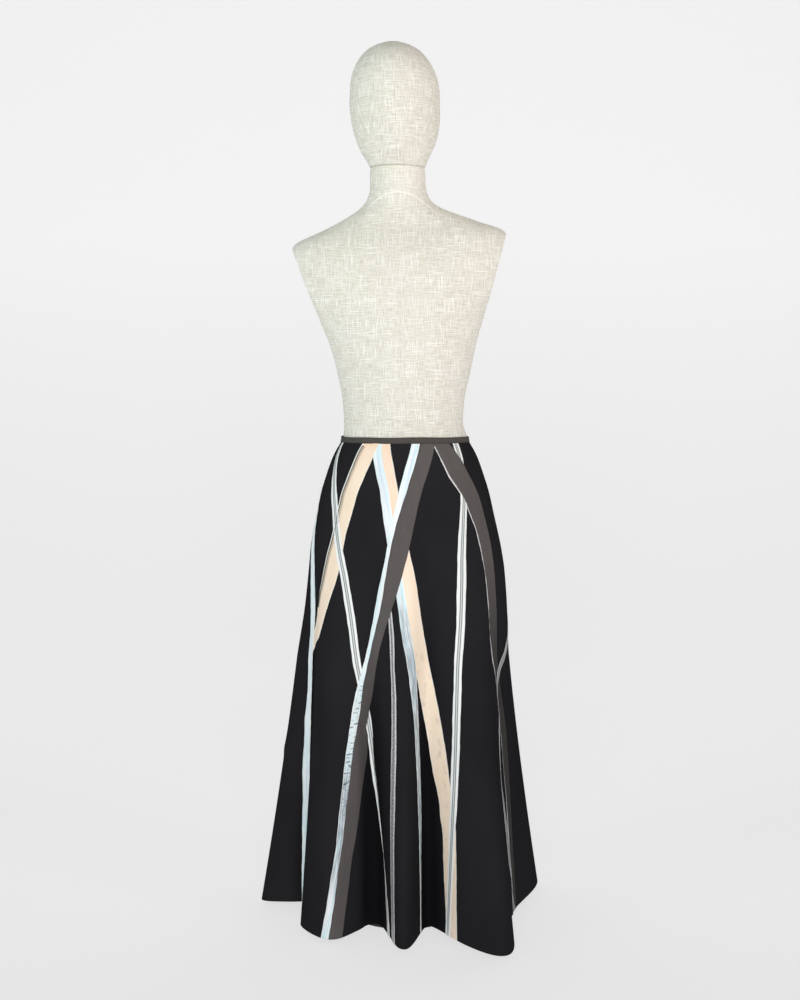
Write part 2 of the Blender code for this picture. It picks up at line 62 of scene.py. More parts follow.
# drop below the waist seam, half width, depth at the seat, depth at the belly, middle in x
bodySections = np.array([
    (0.000, 0.1180, 0.0860, 0.0900, 0.0020),
    (0.012, 0.1256, 0.0895, 0.0935, 0.0020),
    (0.030, 0.1345, 0.0940, 0.0975, 0.0020),
    (0.055, 0.1435, 0.0995, 0.1015, 0.0020),
    (0.090, 0.1545, 0.1070, 0.1055, 0.0022),
    (0.127, 0.1628, 0.1135, 0.1080, 0.0025),
    (0.164, 0.1700, 0.1180, 0.1095, 0.0030),
    (0.200, 0.1745, 0.1200, 0.1100, 0.0045),
    (0.240, 0.1765, 0.1200, 0.1100, 0.0065),
    (0.290, 0.1770, 0.1200, 0.1100, 0.0070),
    (0.400, 0.1770, 0.1200, 0.1100, 0.0020),
])

# crests and valleys of the hem in turn: where the fold springs from the hips (degrees from -Y),
# x, y, heading, handle length, dip below the level hem
hemFolds = np.array([
    (0, 0.000, -0.224, 0, 0.020, 0.004),
    (13, 0.045, -0.138, 0, 0.015, -0.006),
    (44, 0.168, -0.255, 0, 0.042, 0.004),
    (63, 0.194, -0.098, 84, 0.060, -0.006),
    (104, 0.266, 0.138, 86, 0.060, 0.004),
    (130, 0.165, 0.166, 180, 0.022, -0.006),
    (154, 0.068, 0.242, 180, 0.036, 0.004),
    (176, 0.000, 0.160, 180, 0.022, -0.006),
    (204, -0.094, 0.238, 180, 0.038, 0.004),
    (225, -0.162, 0.168, 184, 0.022, -0.006),
    (240, -0.222, 0.178, 215, 0.026, 0.004),
    (254, -0.236, 0.106, 268, 0.022, -0.006),
    (272, -0.272, 0.030, 290, 0.024, 0.004),
    (291, -0.176, -0.028, 275, 0.030, -0.006),
    (302, -0.187, -0.122, 290, 0.024, 0.0),
    (317, -0.127, -0.176, 5, 0.026, 0.004),
    (337, -0.052, -0.131, 0, 0.020, -0.006),
])
folds = len(hemFolds)


def smoothCurve(x, xs, ys):
    # a smooth line through the points, which never overshoots them
    x = np.clip(x, xs[0], xs[-1])
    i = np.clip(np.searchsorted(xs, x, side="right") - 1, 0, len(xs) - 2)
    run, secant = np.diff(xs), np.diff(ys) / np.diff(xs)
    slope = np.concatenate([[secant[0]], np.zeros(len(xs) - 2), [secant[-1]]])
    before, after = secant[:-1], secant[1:]
    same = before * after > 0
    slope[1:-1] = np.where(same, 2 * before * after / np.where(same, before + after, 1), 0)
    u = (x - xs[i]) / run[i]
    return (
        ys[i] * (1 + 2 * u) * (1 - u) ** 2
        + ys[i + 1] * u * u * (3 - 2 * u)
        + run[i] * slope[i] * u * (1 - u) ** 2
        - run[i] * slope[i + 1] * u * u * (1 - u)
    )


def through(points, x):
    # a smooth curve through (x, value) pairs
    table = np.array(points, float)
    return smoothCurve(x, table[:, 0], table[:, 1])


def ease(x):
    x = np.clip(x, 0, 1)
    return x * x * (3 - 2 * x)


def springDegrees(t):
    turns = np.floor(t / folds)
    knots = np.arange(-1, folds + 2)
    angles = hemFolds[knots % folds, 0] + 360.0 * (knots // folds)
    return smoothCurve(t - turns * folds, knots.astype(float), angles) + 360 * turns


def hemPlace(t):
    t = np.mod(t, folds)
    i = np.floor(t).astype(int)
    u = (t - i)[..., None]
    first, second = hemFolds[i % folds], hemFolds[(i + 1) % folds]
    leave, arrive = np.radians(first[..., 3]), np.radians(second[..., 3])
    ahead = np.stack([np.cos(leave), np.sin(leave)], -1) * first[..., 4:5]
    behind = np.stack([np.cos(arrive), np.sin(arrive)], -1) * second[..., 4:5]
    start, end = first[..., 1:3], second[..., 1:3]
    place = (
        start * (1 - u) ** 3
        + (start + ahead) * 3 * u * (1 - u) ** 2
        + (end - behind) * 3 * u * u * (1 - u)
        + end * u**3
    )
    dip = first[..., 5] + (second[..., 5] - first[..., 5]) * ease(u[..., 0])
    return place, dip


def bareCloth(t, drop):
    # the cloth's outer face at a fold coordinate and a drop, before the small creases
    t, drop = np.broadcast_arrays(np.asarray(t, float), np.asarray(drop, float))
    angle = np.radians(springDegrees(t))
    key = bodySections[:, 0]
    into = skirt["lean"] * np.clip(-drop, 0, 1)  # above the seam the cloth leans in under the band
    halfWidth = smoothCurve(drop, key, bodySections[:, 1]) - into
    seat, belly = (smoothCurve(drop, key, bodySections[:, k]) - into for k in (2, 3))
    depth = np.where(np.cos(angle) > 0, seat, belly)
    bodyX = smoothCurve(drop, key, bodySections[:, 4]) + halfWidth * np.sin(angle)
    bodyY = -depth * np.cos(angle)
    hem, dip = hemPlace(t)
    span = skirt["drop"] - skirt["foldStart"]
    share = np.clip((drop - skirt["foldStart"]) / span, 0, None) ** skirt["foldGrowth"]
    return np.stack([
        bodyX + (hem[..., 0] - bodyX) * share,
        bodyY + (hem[..., 1] - bodyY) * share,
        waistZ - drop - dip * share,
    ], -1)


perFold = 24
tTable = np.linspace(-folds, folds, 2 * folds * perFold + 1)
springTable = springDegrees(tTable)
dropTable = np.linspace(0, skirt["drop"], 176)


def girthRows(drops):
    # distance round the cloth from t = 0 at each t of the table, one row for each drop
    points = bareCloth(tTable[None, :], np.asarray(drops)[:, None])
    steps = np.linalg.norm(np.diff(points, axis=1), axis=2)
    reach = np.concatenate([np.zeros((len(points), 1)), np.cumsum(steps, axis=1)], axis=1)
    return reach - reach[:, folds * perFold][:, None]


reachTable = girthRows(dropTable)


def foldCoordinate(degrees):
    return np.interp(degrees, springTable, tTable)


def fromTable(table, t, drop):
    # a value from a table with a row for each drop and a column for each t
    column = np.clip((t + folds) * perFold, 0, len(tTable) - 1.001)
    row = np.clip(drop / dropTable[1], 0, len(dropTable) - 1.001)
    i, j = column.astype(int), row.astype(int)
    u, v = column - i, row - j
    above = table[j, i] * (1 - u) + table[j, i + 1] * u
    below = table[j + 1, i] * (1 - u) + table[j + 1, i + 1] * u
    return above * (1 - v) + below * v


def reachOf(t, drop):
    return fromTable(reachTable, t, drop)


# Creases, given one by one: (degrees at the hips, drop) down the line, how far the crease spreads
# to each side, and its height, below nought for a trough
creases = [
    {"line": [(309, 0.34), (311.6, 0.50), (313, 0.64), (314.6, 0.875)],
     "left": 0.016, "right": 0.026, "height": 0.0035},
    {"line": [(331, 0.40), (334, 0.55), (335, 0.70), (333, 0.875)],
     "left": 0.010, "right": 0.030, "height": -0.0050},
    {"line": [(275, 0.585), (280, 0.549), (285, 0.515), (290, 0.47)],
     "left": 0.020, "right": 0.012, "height": 0.0035},
    {"line": [(283, 0.60), (286, 0.70), (287, 0.875)],
     "left": 0.014, "right": 0.020, "height": -0.0040},
    {"line": [(52, 0.33), (56, 0.45), (61, 0.55), (65, 0.70), (66, 0.875)],
     "left": 0.016, "right": 0.010, "height": 0.0040},
    {"line": [(24, 0.30), (26, 0.50), (28, 0.70), (29, 0.875)],
     "left": 0.040, "right": 0.045, "height": 0.0030},
    {"line": [(352, 0.42), (355, 0.60), (357, 0.875)],
     "left": 0.020, "right": 0.016, "height": 0.0020},
    {"line": [(118, 0.38), (121, 0.60), (122, 0.875)],
     "left": 0.016, "right": 0.012, "height": -0.0035},
    {"line": [(160, 0.36), (163, 0.60), (164, 0.875)],
     "left": 0.020, "right": 0.016, "height": 0.0030},
    {"line": [(196, 0.42), (193, 0.62), (192, 0.875)],
     "left": 0.018, "right": 0.014, "height": -0.0030},
    {"line": [(214, 0.40), (216, 0.60), (217, 0.875)],
     "left": 0.014, "right": 0.018, "height": 0.0030},
    {"line": [(247, 0.44), (248, 0.62), (248, 0.875)],
     "left": 0.012, "right": 0.016, "height": -0.0030},
]
creaseEnds = {"fadeIn": 0.09, "fadeOut": 0.03, "nearHem": 0.01}
seamGroove = {"depth": 0.0007, "pucker": 0.0002, "pitch": 0.017, "width": 0.0016, "start": 0.01}


def creaseHeight(t, drop):
    # all the creases' height over the bare cloth, and the grooves of the side seams
    reach = reachOf(t, drop)
    total = np.zeros_like(reach)
    for crease in creases:
        line = sorted((down, degrees - 360 if degrees > skirt["frontSeam"] else degrees)
                      for degrees, down in crease["line"])
        low, high = line[0][0], line[-1][0]
        at = foldCoordinate(through(line, np.clip(drop, low, high)))
        turn = np.round((t - at) / folds) * folds
        away = reachOf(t - turn, drop) - reachOf(at, drop)
        spread = np.where(away < 0, crease["left"], crease["right"])
        fade = ease((drop - low) / creaseEnds["fadeIn"])
        if high < skirt["drop"] - creaseEnds["nearHem"]:
            fade = fade * ease((high - drop) / creaseEnds["fadeOut"] + 0.5)
        total += crease["height"] * np.exp(-(away / spread) ** 2) * fade
    for degrees in (skirt["backSeam"], skirt["frontSeam"]):
        at = foldCoordinate(degrees)
        away = reach - reachOf(at + 0 * t, drop)
        over = reach - reachOf(at - folds + 0 * t, drop)
        away = np.where(np.abs(over) < np.abs(away), over, away)
        wave = np.sin(drop * 2 * math.pi / seamGroove["pitch"])
        pucker = seamGroove["depth"] + seamGroove["pucker"] * wave
        fade = ease(drop / seamGroove["start"])
        total -= pucker * np.exp(-(away / seamGroove["width"]) ** 2) * fade
    return total


def normalOf(shape, t, drop):
    acrossStep, dropStep = 0.02, 0.003
    level = shape(t + acrossStep, drop) - shape(t - acrossStep, drop)
    down = shape(t, drop + dropStep) - shape(t, drop - dropStep)
    normal = np.cross(down, level)
    return normal / np.linalg.norm(normal, axis=-1, keepdims=True)


def cloth(t, drop):
    t, drop = np.broadcast_arrays(np.asarray(t, float), np.asarray(drop, float))
    height = creaseHeight(t, drop)[..., None]
    return bareCloth(t, drop) + normalOf(bareCloth, t, drop) * height


# The hollow measure made here paints shade into the folds, on the crepe and on the ribbons.
# the width that the girth is smoothed over, and the depth that counts as fully hollow
hollows = {"samples": 720, "widths": ((0.030, 0.011), (0.075, 0.034))}


def hollowRows():
    # how far the cloth lies inside its own smoothed girth, from 0 to 1, for the rows and columns
    # of the reach table
    table = np.zeros_like(reachTable)
    once = slice(folds * perFold, 2 * folds * perFold + 1)
    for r, drop in enumerate(dropTable):
        points = bareCloth(tTable[once], drop)[:, :2]
        reach = reachTable[r, once]
        even = np.linspace(0, reach[-1], hollows["samples"] + 1)[:-1]
        place = np.stack([np.interp(even, reach, points[:, k]) for k in range(2)], 1)
        waves = np.fft.fftfreq(hollows["samples"], d=reach[-1] / hollows["samples"])
        depths = []
        for width, full in hollows["widths"]:
            soft = np.exp(-2 * (math.pi * waves * width) ** 2)[:, None]
            mean = np.fft.ifft(np.fft.fft(place, axis=0) * soft, axis=0).real
            ahead = np.roll(mean, -1, axis=0) - np.roll(mean, 1, axis=0)
            out = np.stack([ahead[:, 1], -ahead[:, 0]], 1)
            out /= np.linalg.norm(out, axis=1, keepdims=True)
            depths.append(ease(np.sum((mean - place) * out, 1) / full))
        table[r, once] = np.interp(reach, even, np.maximum(*depths), period=reach[-1])
    table[:, :folds * perFold] = table[:, folds * perFold:2 * folds * perFold]
    return table


hollowTable = hollowRows()


# Making meshes

def gridFaces(rows, columns, start, flip=False):
    a = start + (np.arange(rows - 1)[:, None] * columns + np.arange(columns - 1)).ravel()
    b = a + columns
    return np.stack([a, a + 1, b + 1, b] if flip else [a, b, b + 1, a + 1], 1).tolist()


def addPiece(name, points, faces, finish, uv=None, attributes=None, sharp=50):
    mesh = bpy.data.meshes.new(name)
    mesh.from_pydata(np.asarray(points).reshape(-1, 3).tolist(), [], faces)
    if uv is not None:
        corners = np.empty(len(mesh.loops), int)
        mesh.loops.foreach_get("vertex_index", corners)
        layer = mesh.uv_layers.new(name="cloth")
        layer.data.foreach_set("uv", np.asarray(uv).reshape(-1, 2)[corners].ravel())
    for label, values in (attributes or {}).items():
        mesh.attributes.new(label, "FLOAT", "POINT").data.foreach_set(
            "value", np.asarray(values, float).ravel()
        )
    mesh.shade_smooth()
    mesh.set_sharp_from_angle(angle=math.radians(sharp))
    mesh.materials.append(finish)
    made = bpy.data.objects.new(name, mesh)
    bpy.context.scene.collection.objects.link(made)
    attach(made, "root")
    return made


def addWall(name, outer, inner, finish, uv, attributes=None, sharp=50):
    # a thin wall between two grids, rows from top to bottom and columns from left to right
    rows, columns = outer.shape[:2]
    under = rows * columns
    faces = gridFaces(rows, columns, 0) + gridFaces(rows, columns, under, flip=True)
    for c in range(columns - 1):
        low = (rows - 1) * columns + c
        faces.append((c, c + 1, under + c + 1, under + c))
        faces.append((low + 1, low, under + low, under + low + 1))
    for r in range(rows - 1):
        left, right = r * columns, (r + 1) * columns - 1
        faces.append((left + columns, left, under + left, under + left + columns))
        faces.append((right, right + columns, under + right + columns, under + right))
    points = np.concatenate([outer.reshape(-1, 3), inner.reshape(-1, 3)])
    both = {k: np.concatenate([np.ravel(v), np.ravel(v)]) for k, v in (attributes or {}).items()}
    uvs = np.concatenate([uv.reshape(-1, 2), uv.reshape(-1, 2)])
    return addPiece(name, points, faces, finish, uvs, both, sharp)


# Materials

class Wire:
    # one output of a material's node, on which sums can be written

    def __init__(self, look, socket):
        self.look, self.socket = look, socket

    def maths(self, operation, *values):
        sockets = dict(enumerate(values))
        return self.look.add("ShaderNodeMath", {"operation": operation}, sockets)

    def __add__(self, other):
        return self.maths("ADD", self, other)

    def __mul__(self, other):
        return self.maths("MULTIPLY", self, other)

    def __rsub__(self, other):
        return self.maths("SUBTRACT", other, self)

    __radd__, __rmul__ = __add__, __mul__

    def sine(self):
        return self.maths("SINE", self)

    def size(self):
        return self.maths("ABSOLUTE", self)

    def above(self, start, end):
        # 0 at start and below it, 1 at end and past it
        sockets = {"Value": self, "From Min": start, "From Max": end}
        settings = {"interpolation_type": "SMOOTHSTEP"}
        return self.look.add("ShaderNodeMapRange", settings, sockets)

    def below(self, start, end):
        return 1 - self.above(start, end)


class Look:
    # a material while its nodes are being put together

    def __init__(self, name):
        self.material = bpy.data.materials.new(name)
        self.material.use_nodes = True
        self.tree = self.material.node_tree
        self.tree.nodes.clear()

    def add(self, kind, settings=None, sockets=None, output=0):
        node = self.tree.nodes.new(kind)
        for key, value in (settings or {}).items():
            setattr(node, key, value)
        for key, value in (sockets or {}).items():
            if isinstance(value, Wire):
                self.tree.links.new(value.socket, node.inputs[key])
            else:
                node.inputs[key].default_value = value
        return Wire(self, node.outputs[output])

    def coordinates(self, scale=(1, 1, 1), source="UV", turn=0.0):
        # source is UV, Object or a place that other nodes have made
        if not isinstance(source, Wire):
            source = self.add("ShaderNodeTexCoord", output={"UV": 2, "Object": 3}[source])
        sockets = {"Vector": source, "Scale": scale, "Rotation": (0, 0, turn)}
        return self.add("ShaderNodeMapping", None, sockets)

    def axis(self, letter, source="UV"):
        sockets = {0: self.coordinates(source=source)}
        return self.add("ShaderNodeSeparateXYZ", None, sockets, output="XYZ".index(letter))

    def noise(self, scale, detail=3.0, roughness=0.55, source="UV", turn=0.0):
        place = self.coordinates(scale, source, turn)
        sockets = {"Vector": place, "Scale": 1.0, "Detail": detail, "Roughness": roughness}
        return self.add("ShaderNodeTexNoise", None, sockets)

    def attribute(self, name):
        return self.add("ShaderNodeAttribute", {"attribute_name": name}, output=2)

    def mix(self, factor, first, second):
        settings = {"data_type": "RGBA", "clamp_factor": True}
        first, second = (v if isinstance(v, Wire) else (*v, 1.0) for v in (first, second))
        return self.add("ShaderNodeMix", settings, {0: factor, 6: first, 7: second}, output=2)

    def bump(self, height, strength, distance, under=None):
        sockets = {"Height": height, "Strength": strength, "Distance": distance}
        if under is not None:
            sockets["Normal"] = under
        return self.add("ShaderNodeBump", None, sockets)

    def finish(self, **sockets):
        named = {key.replace("_", " "): value for key, value in sockets.items()}
        shader = self.add("ShaderNodeBsdfPrincipled", None, named)
        out = self.tree.nodes.new("ShaderNodeOutputMaterial")
        self.tree.links.new(shader.socket, out.inputs["Surface"])
        return self.material


crepe = {
    "dark": (0.0165, 0.0156, 0.0178),
    "light": (0.0235, 0.0224, 0.0250),
    "foldShade": (0.0036, 0.0034, 0.0044),
    "lint": (0.06, 0.06, 0.065),
    "grain": 1300.0,
}


def crepeLook():
    look = Look("black crepe")
    grain = look.noise((crepe["grain"], crepe["grain"], 1.0), 2.0)
    twill = look.noise((crepe["grain"] * 0.3, crepe["grain"] * 1.6, 1.0), 2.0)
    cloud = look.noise((6.0, 6.0, 4.0), 3.0, source="Object")
    lint = look.noise((260.0, 260.0, 260.0), 1.0, source="Object").above(0.74, 0.80)
    colour = look.mix(cloud.above(0.3, 0.7) * 0.6 + grain * 0.4, crepe["dark"], crepe["light"])
    colour = look.mix(lint * 0.25, colour, crepe["lint"])
    # painted shade: the crepe turns near black where it lies far inside a fold's hollow
    colour = look.mix(look.attribute("hollow") * 0.75, colour, crepe["foldShade"])
    return look.finish(
        Base_Color=colour,
        Roughness=0.80 + grain * 0.16,
        Normal=look.bump(grain * 0.6 + twill * 0.4, 0.35, 0.0004),
        Specular_IOR_Level=0.0,
    )


def grosgrainLook(name, dark, light, roughness=0.72):
    # a matt ribbon with fine ribs across it
    look = Look(name)
    shadow = tuple(0.25 * v for v in dark)
    rib = (look.axis("Y") * (2 * math.pi / 0.0011)).sine() * 0.5 + 0.5
    mottle = look.noise((160.0, 40.0, 1.0), 4.0)
    broad = look.noise((14.0, 9.0, 1.0), 2.0)
    colour = look.mix(mottle * 0.5 + broad * 0.5, dark, light)
    nearEdge = look.attribute("edge").below(0.0003, 0.0012)
    colour = look.mix(nearEdge * 0.5, colour, tuple(0.4 * v for v in dark))
    # painted shade: darker in the folds' hollows and down the ribbon's listed darkened stretch
    colour = look.mix(look.attribute("hollow") * 0.7, colour, shadow)
    colour = look.mix(look.attribute("marksAndShade") * 0.75, colour, shadow)
    return look.finish(
        Base_Color=colour,
        Roughness=roughness + mottle * 0.12,
        Normal=look.bump(rib * 0.5 + mottle * 0.5, 0.25, 0.0003),
        Specular_IOR_Level=0.03,
    )


peach = {
    "plain": (0.96, 0.785, 0.61),
    "warm": (0.95, 0.68, 0.50),
    "smudge": (0.46, 0.36, 0.31),
    "rim": (0.98, 0.94, 0.87),
    "selvedge": (0.86, 0.87, 0.84),
}


def peachLook():
    look = Look("peach satin")
    satin = look.noise((1500.0, 90.0, 1.0), 3.0)
    cloud = look.noise((30.0, 12.0, 1.0), 3.0)
    colour = look.mix(look.attribute("warm"), peach["plain"], peach["warm"])
    colour = look.mix(cloud.above(0.35, 0.75) * 0.25, colour, peach["rim"])
    blot = look.noise((70.0, 34.0, 1.0), 2.0).above(0.54, 0.72)
    colour = look.mix(blot * look.attribute("marksAndShade") * 0.34, colour, peach["smudge"])
    rim = look.attribute("edge").below(0.0006, 0.0016)
    colour = look.mix(rim * 0.7, colour, peach["rim"])
    selvedge = look.attribute("selvedge").below(0.0022, 0.0030)
    colour = look.mix(selvedge * 0.85, colour, peach["selvedge"])
    return look.finish(
        Base_Color=colour,
        Roughness=0.36 + satin * 0.14,
        Normal=look.bump(satin, 0.15, 0.0003, look.bump(cloud, 0.25, 0.002)),
        Sheen_Weight=0.15,
        Specular_IOR_Level=0.5,
    )


paleBlue = {
    "white": (0.90, 0.93, 0.95),
    "cyan": (0.62, 0.86, 0.93),
    "lavender": (0.63, 0.68, 0.85),
    "silver": (0.30, 0.345, 0.39),
    "crinkleShade": (0.06, 0.075, 0.10),
    "rim": (0.93, 0.96, 0.97),
}


def paleBlueLook():
    look = Look("pale blue satin")
    streak = look.noise((420.0, 9.0, 1.0), 3.0)
    drift = look.noise((90.0, 5.0, 1.0), 2.0)
    colour = look.mix(streak.above(0.42, 0.62), paleBlue["white"], paleBlue["cyan"])
    colour = look.mix(drift.above(0.50, 0.68) * 0.55, colour, paleBlue["lavender"])
    # grey patches come in down the ribbon's listed darkened stretch
    greyPatches = look.noise((420.0, 26.0, 1.0), 3.0).above(0.32, 0.62)
    colour = look.mix(look.attribute("marksAndShade") * greyPatches * 0.9, colour, paleBlue["silver"])
    crinkle = look.noise((90.0, 330.0, 1.0), 2.0, 0.5, turn=math.radians(28))
    # painted shade: near black lines in the small folds of the crinkled stretch
    crinkleShadeMask = crinkle.above(0.56, 0.66) * look.attribute("crinkled")
    colour = look.mix(crinkleShadeMask * 0.9, colour, paleBlue["crinkleShade"])
    rim = look.attribute("edge").below(0.0004, 0.0011)
    colour = look.mix(rim * 0.7, colour, paleBlue["rim"])
    return look.finish(
        Base_Color=colour,
        Roughness=0.30 + streak * 0.14,
        Normal=look.bump(crinkle * look.attribute("crinkled"), 0.5, 0.0012,
                         look.bump(streak, 0.12, 0.0004)),
        Coat_Weight=0.15,
        Coat_Roughness=0.3,
    )


striped = {
    "pale": (0.93, 0.95, 0.955),
    "rib": (0.84, 0.87, 0.88),
    "centre": (0.60, 0.63, 0.63),
    "line": (0.105, 0.125, 0.125),
}


def stripedLook():
    look = Look("striped ribbon")
    across = look.axis("X").size()
    ribs = look.noise((300.0, 1500.0, 1.0), 2.0)
    line = across.above(0.0011, 0.0015) * across.below(0.0023, 0.0028)
    colour = look.mix(ribs * 0.5, striped["pale"], striped["rib"])
    colour = look.mix(across.below(0.0027, 0.0032), colour, striped["centre"])
    colour = look.mix(line * 0.9, colour, striped["line"])
    return look.finish(
        Base_Color=colour,
        Roughness=0.42 + ribs * 0.15,
        Normal=look.bump(ribs, 0.2, 0.0003),
        Sheen_Weight=0.05,
    )


silver = {
    "dark": (0.13, 0.125, 0.13),
    "light": (0.62, 0.61, 0.63),
    "centre": (0.10, 0.10, 0.11),
    "rim": (0.90, 0.89, 0.91),
    "shade": (0.045, 0.045, 0.05),
}


def silverLook():
    look = Look("silver ribbon")
    speck = look.noise((520.0, 330.0, 1.0), 3.0, 0.7)
    colour = look.mix(speck.above(0.40, 0.60), silver["dark"], silver["light"])
    centre = look.axis("X").size().below(0.0009, 0.0018)
    colour = look.mix(centre * speck.above(0.3, 0.5) * 0.6, colour, silver["centre"])
    rim = look.attribute("edge").below(0.0015, 0.0027)
    colour = look.mix(rim * (0.4 + speck * 0.5), colour, silver["rim"])
    # painted shade: darker in the folds' hollows and down the ribbon's listed darkened stretch
    shade = look.attribute("hollow") * 0.45 + look.attribute("marksAndShade") * 0.50
    colour = look.mix(shade, colour, silver["shade"])
    return look.finish(
        Base_Color=colour,
        Roughness=0.34 + speck * 0.2,
        Metallic=0.05 + speck * 0.1,
        Normal=look.bump(speck, 0.3, 0.0004),
    )


linen = {
    "pale": (0.805, 0.78, 0.705),
    "dark": (0.60, 0.575, 0.50),
    "slub": (0.97, 0.96, 0.91),
    "worn": (0.84, 0.80, 0.76),
    "seam": (0.45, 0.43, 0.37),
    "fuzz": 0.10,
    "thread": 620.0,
}


def linenLook():
    # the threads run straight on the back, on the sides and over the shoulders, and the three
    # weaves blend where the form turns
    look = Look("slub linen")
    weaves, slubs = [], []
    fine = linen["thread"]
    for order in ("XZ", "YZ", "XY"):
        flat = [look.axis(letter, "Object") for letter in order]
        place = look.add("ShaderNodeCombineXYZ", None, dict(enumerate(flat)))

        def threads(across, along, detail=2.0):
            return look.noise((across, along, 1.0), detail, 0.6, place)

        weaves.append(threads(fine * 0.09, fine) * 0.5 + threads(fine, fine * 0.09) * 0.5)
        slubs.append(
            threads(26.0, 520.0, 1.0).above(0.57, 0.68) + threads(520.0, 26.0, 1.0).above(0.57, 0.68)
        )
    side, top = look.attribute("sideways"), look.attribute("upwards")
    weave = (weaves[0] * (1 - side) + weaves[1] * side) * (1 - top) + weaves[2] * top
    slub = (slubs[0] * (1 - side) + slubs[1] * side) * (1 - top) + slubs[2] * top
    cloud = look.noise((9.0, 9.0, 9.0), 3.0, source="Object")
    colour = look.mix(weave.above(0.38, 0.60), linen["dark"], linen["pale"])
    colour = look.mix(slub * 0.75, colour, linen["slub"])
    colour = look.mix(cloud.above(0.35, 0.75) * 0.30, colour, linen["worn"])
    line = look.attribute("seam").below(0.0004, 0.0014)
    colour = look.mix(line * 0.30, colour, linen["seam"])
    welt = look.attribute("welt").below(0.0006, 0.0020)
    colour = look.mix(welt * 0.8, colour, linen["slub"])
    return look.finish(
        Base_Color=colour,
        Roughness=0.86 + weave * 0.10,
        Normal=look.bump(weave + slub * 0.5, 0.5, 0.0008),
        Sheen_Weight=linen["fuzz"],
        Sheen_Roughness=0.5,
        Specular_IOR_Level=0.2,
    )


def threadLook(name, dark, light):
    look = Look(name)
    twist = look.noise((2400.0, 2400.0, 2400.0), 1.0, source="Object")
    return look.finish(
        Base_Color=look.mix(twist, dark, light),
        Roughness=0.5 + twist * 0.3,
        Normal=look.bump(twist, 0.3, 0.0001),
    )


def metalLook():
    look = Look("stand metal")
    wear = look.noise((40.0, 40.0, 40.0), 4.0, source="Object")
    fine = look.noise((900.0, 900.0, 900.0), 2.0, source="Object")
    return look.finish(
        Base_Color=look.mix(wear, (0.016, 0.016, 0.018), (0.030, 0.030, 0.033)),
        Metallic=0.55,
        Roughness=0.34 + wear * 0.14,
        Normal=look.bump(fine, 0.12, 0.0002),
    )


looks = {
    "black_crepe": crepeLook(),
    "taupe_ribbon": grosgrainLook("taupe ribbon", (0.092, 0.083, 0.082), (0.134, 0.121, 0.119)),
    "peach_satin": peachLook(),
    "pale_blue_satin": paleBlueLook(),
    "striped_ribbon": stripedLook(),
    "silver_ribbon": silverLook(),
    "linen": linenLook(),
    "stand_metal": metalLook(),
    "darkThread": threadLook("dark thread", (0.006, 0.006, 0.006), (0.016, 0.015, 0.016)),
    "paleThread": threadLook("pale thread", (0.80, 0.78, 0.74), (0.96, 0.95, 0.92)),
    "taupeThread": threadLook("taupe thread", (0.070, 0.060, 0.056), (0.135, 0.115, 0.108)),
    "silverThread": threadLook("silver thread", (0.30, 0.31, 0.33), (0.62, 0.63, 0.66)),
    "linenThread": threadLook("linen thread", (0.40, 0.38, 0.33), (0.66, 0.64, 0.58)),
}
bandLook = grosgrainLook("waist ribbon", (0.064, 0.058, 0.054), (0.100, 0.092, 0.087), 0.7)
print("materials made")


# Stitches: Geometry Nodes lay beads of thread along a line

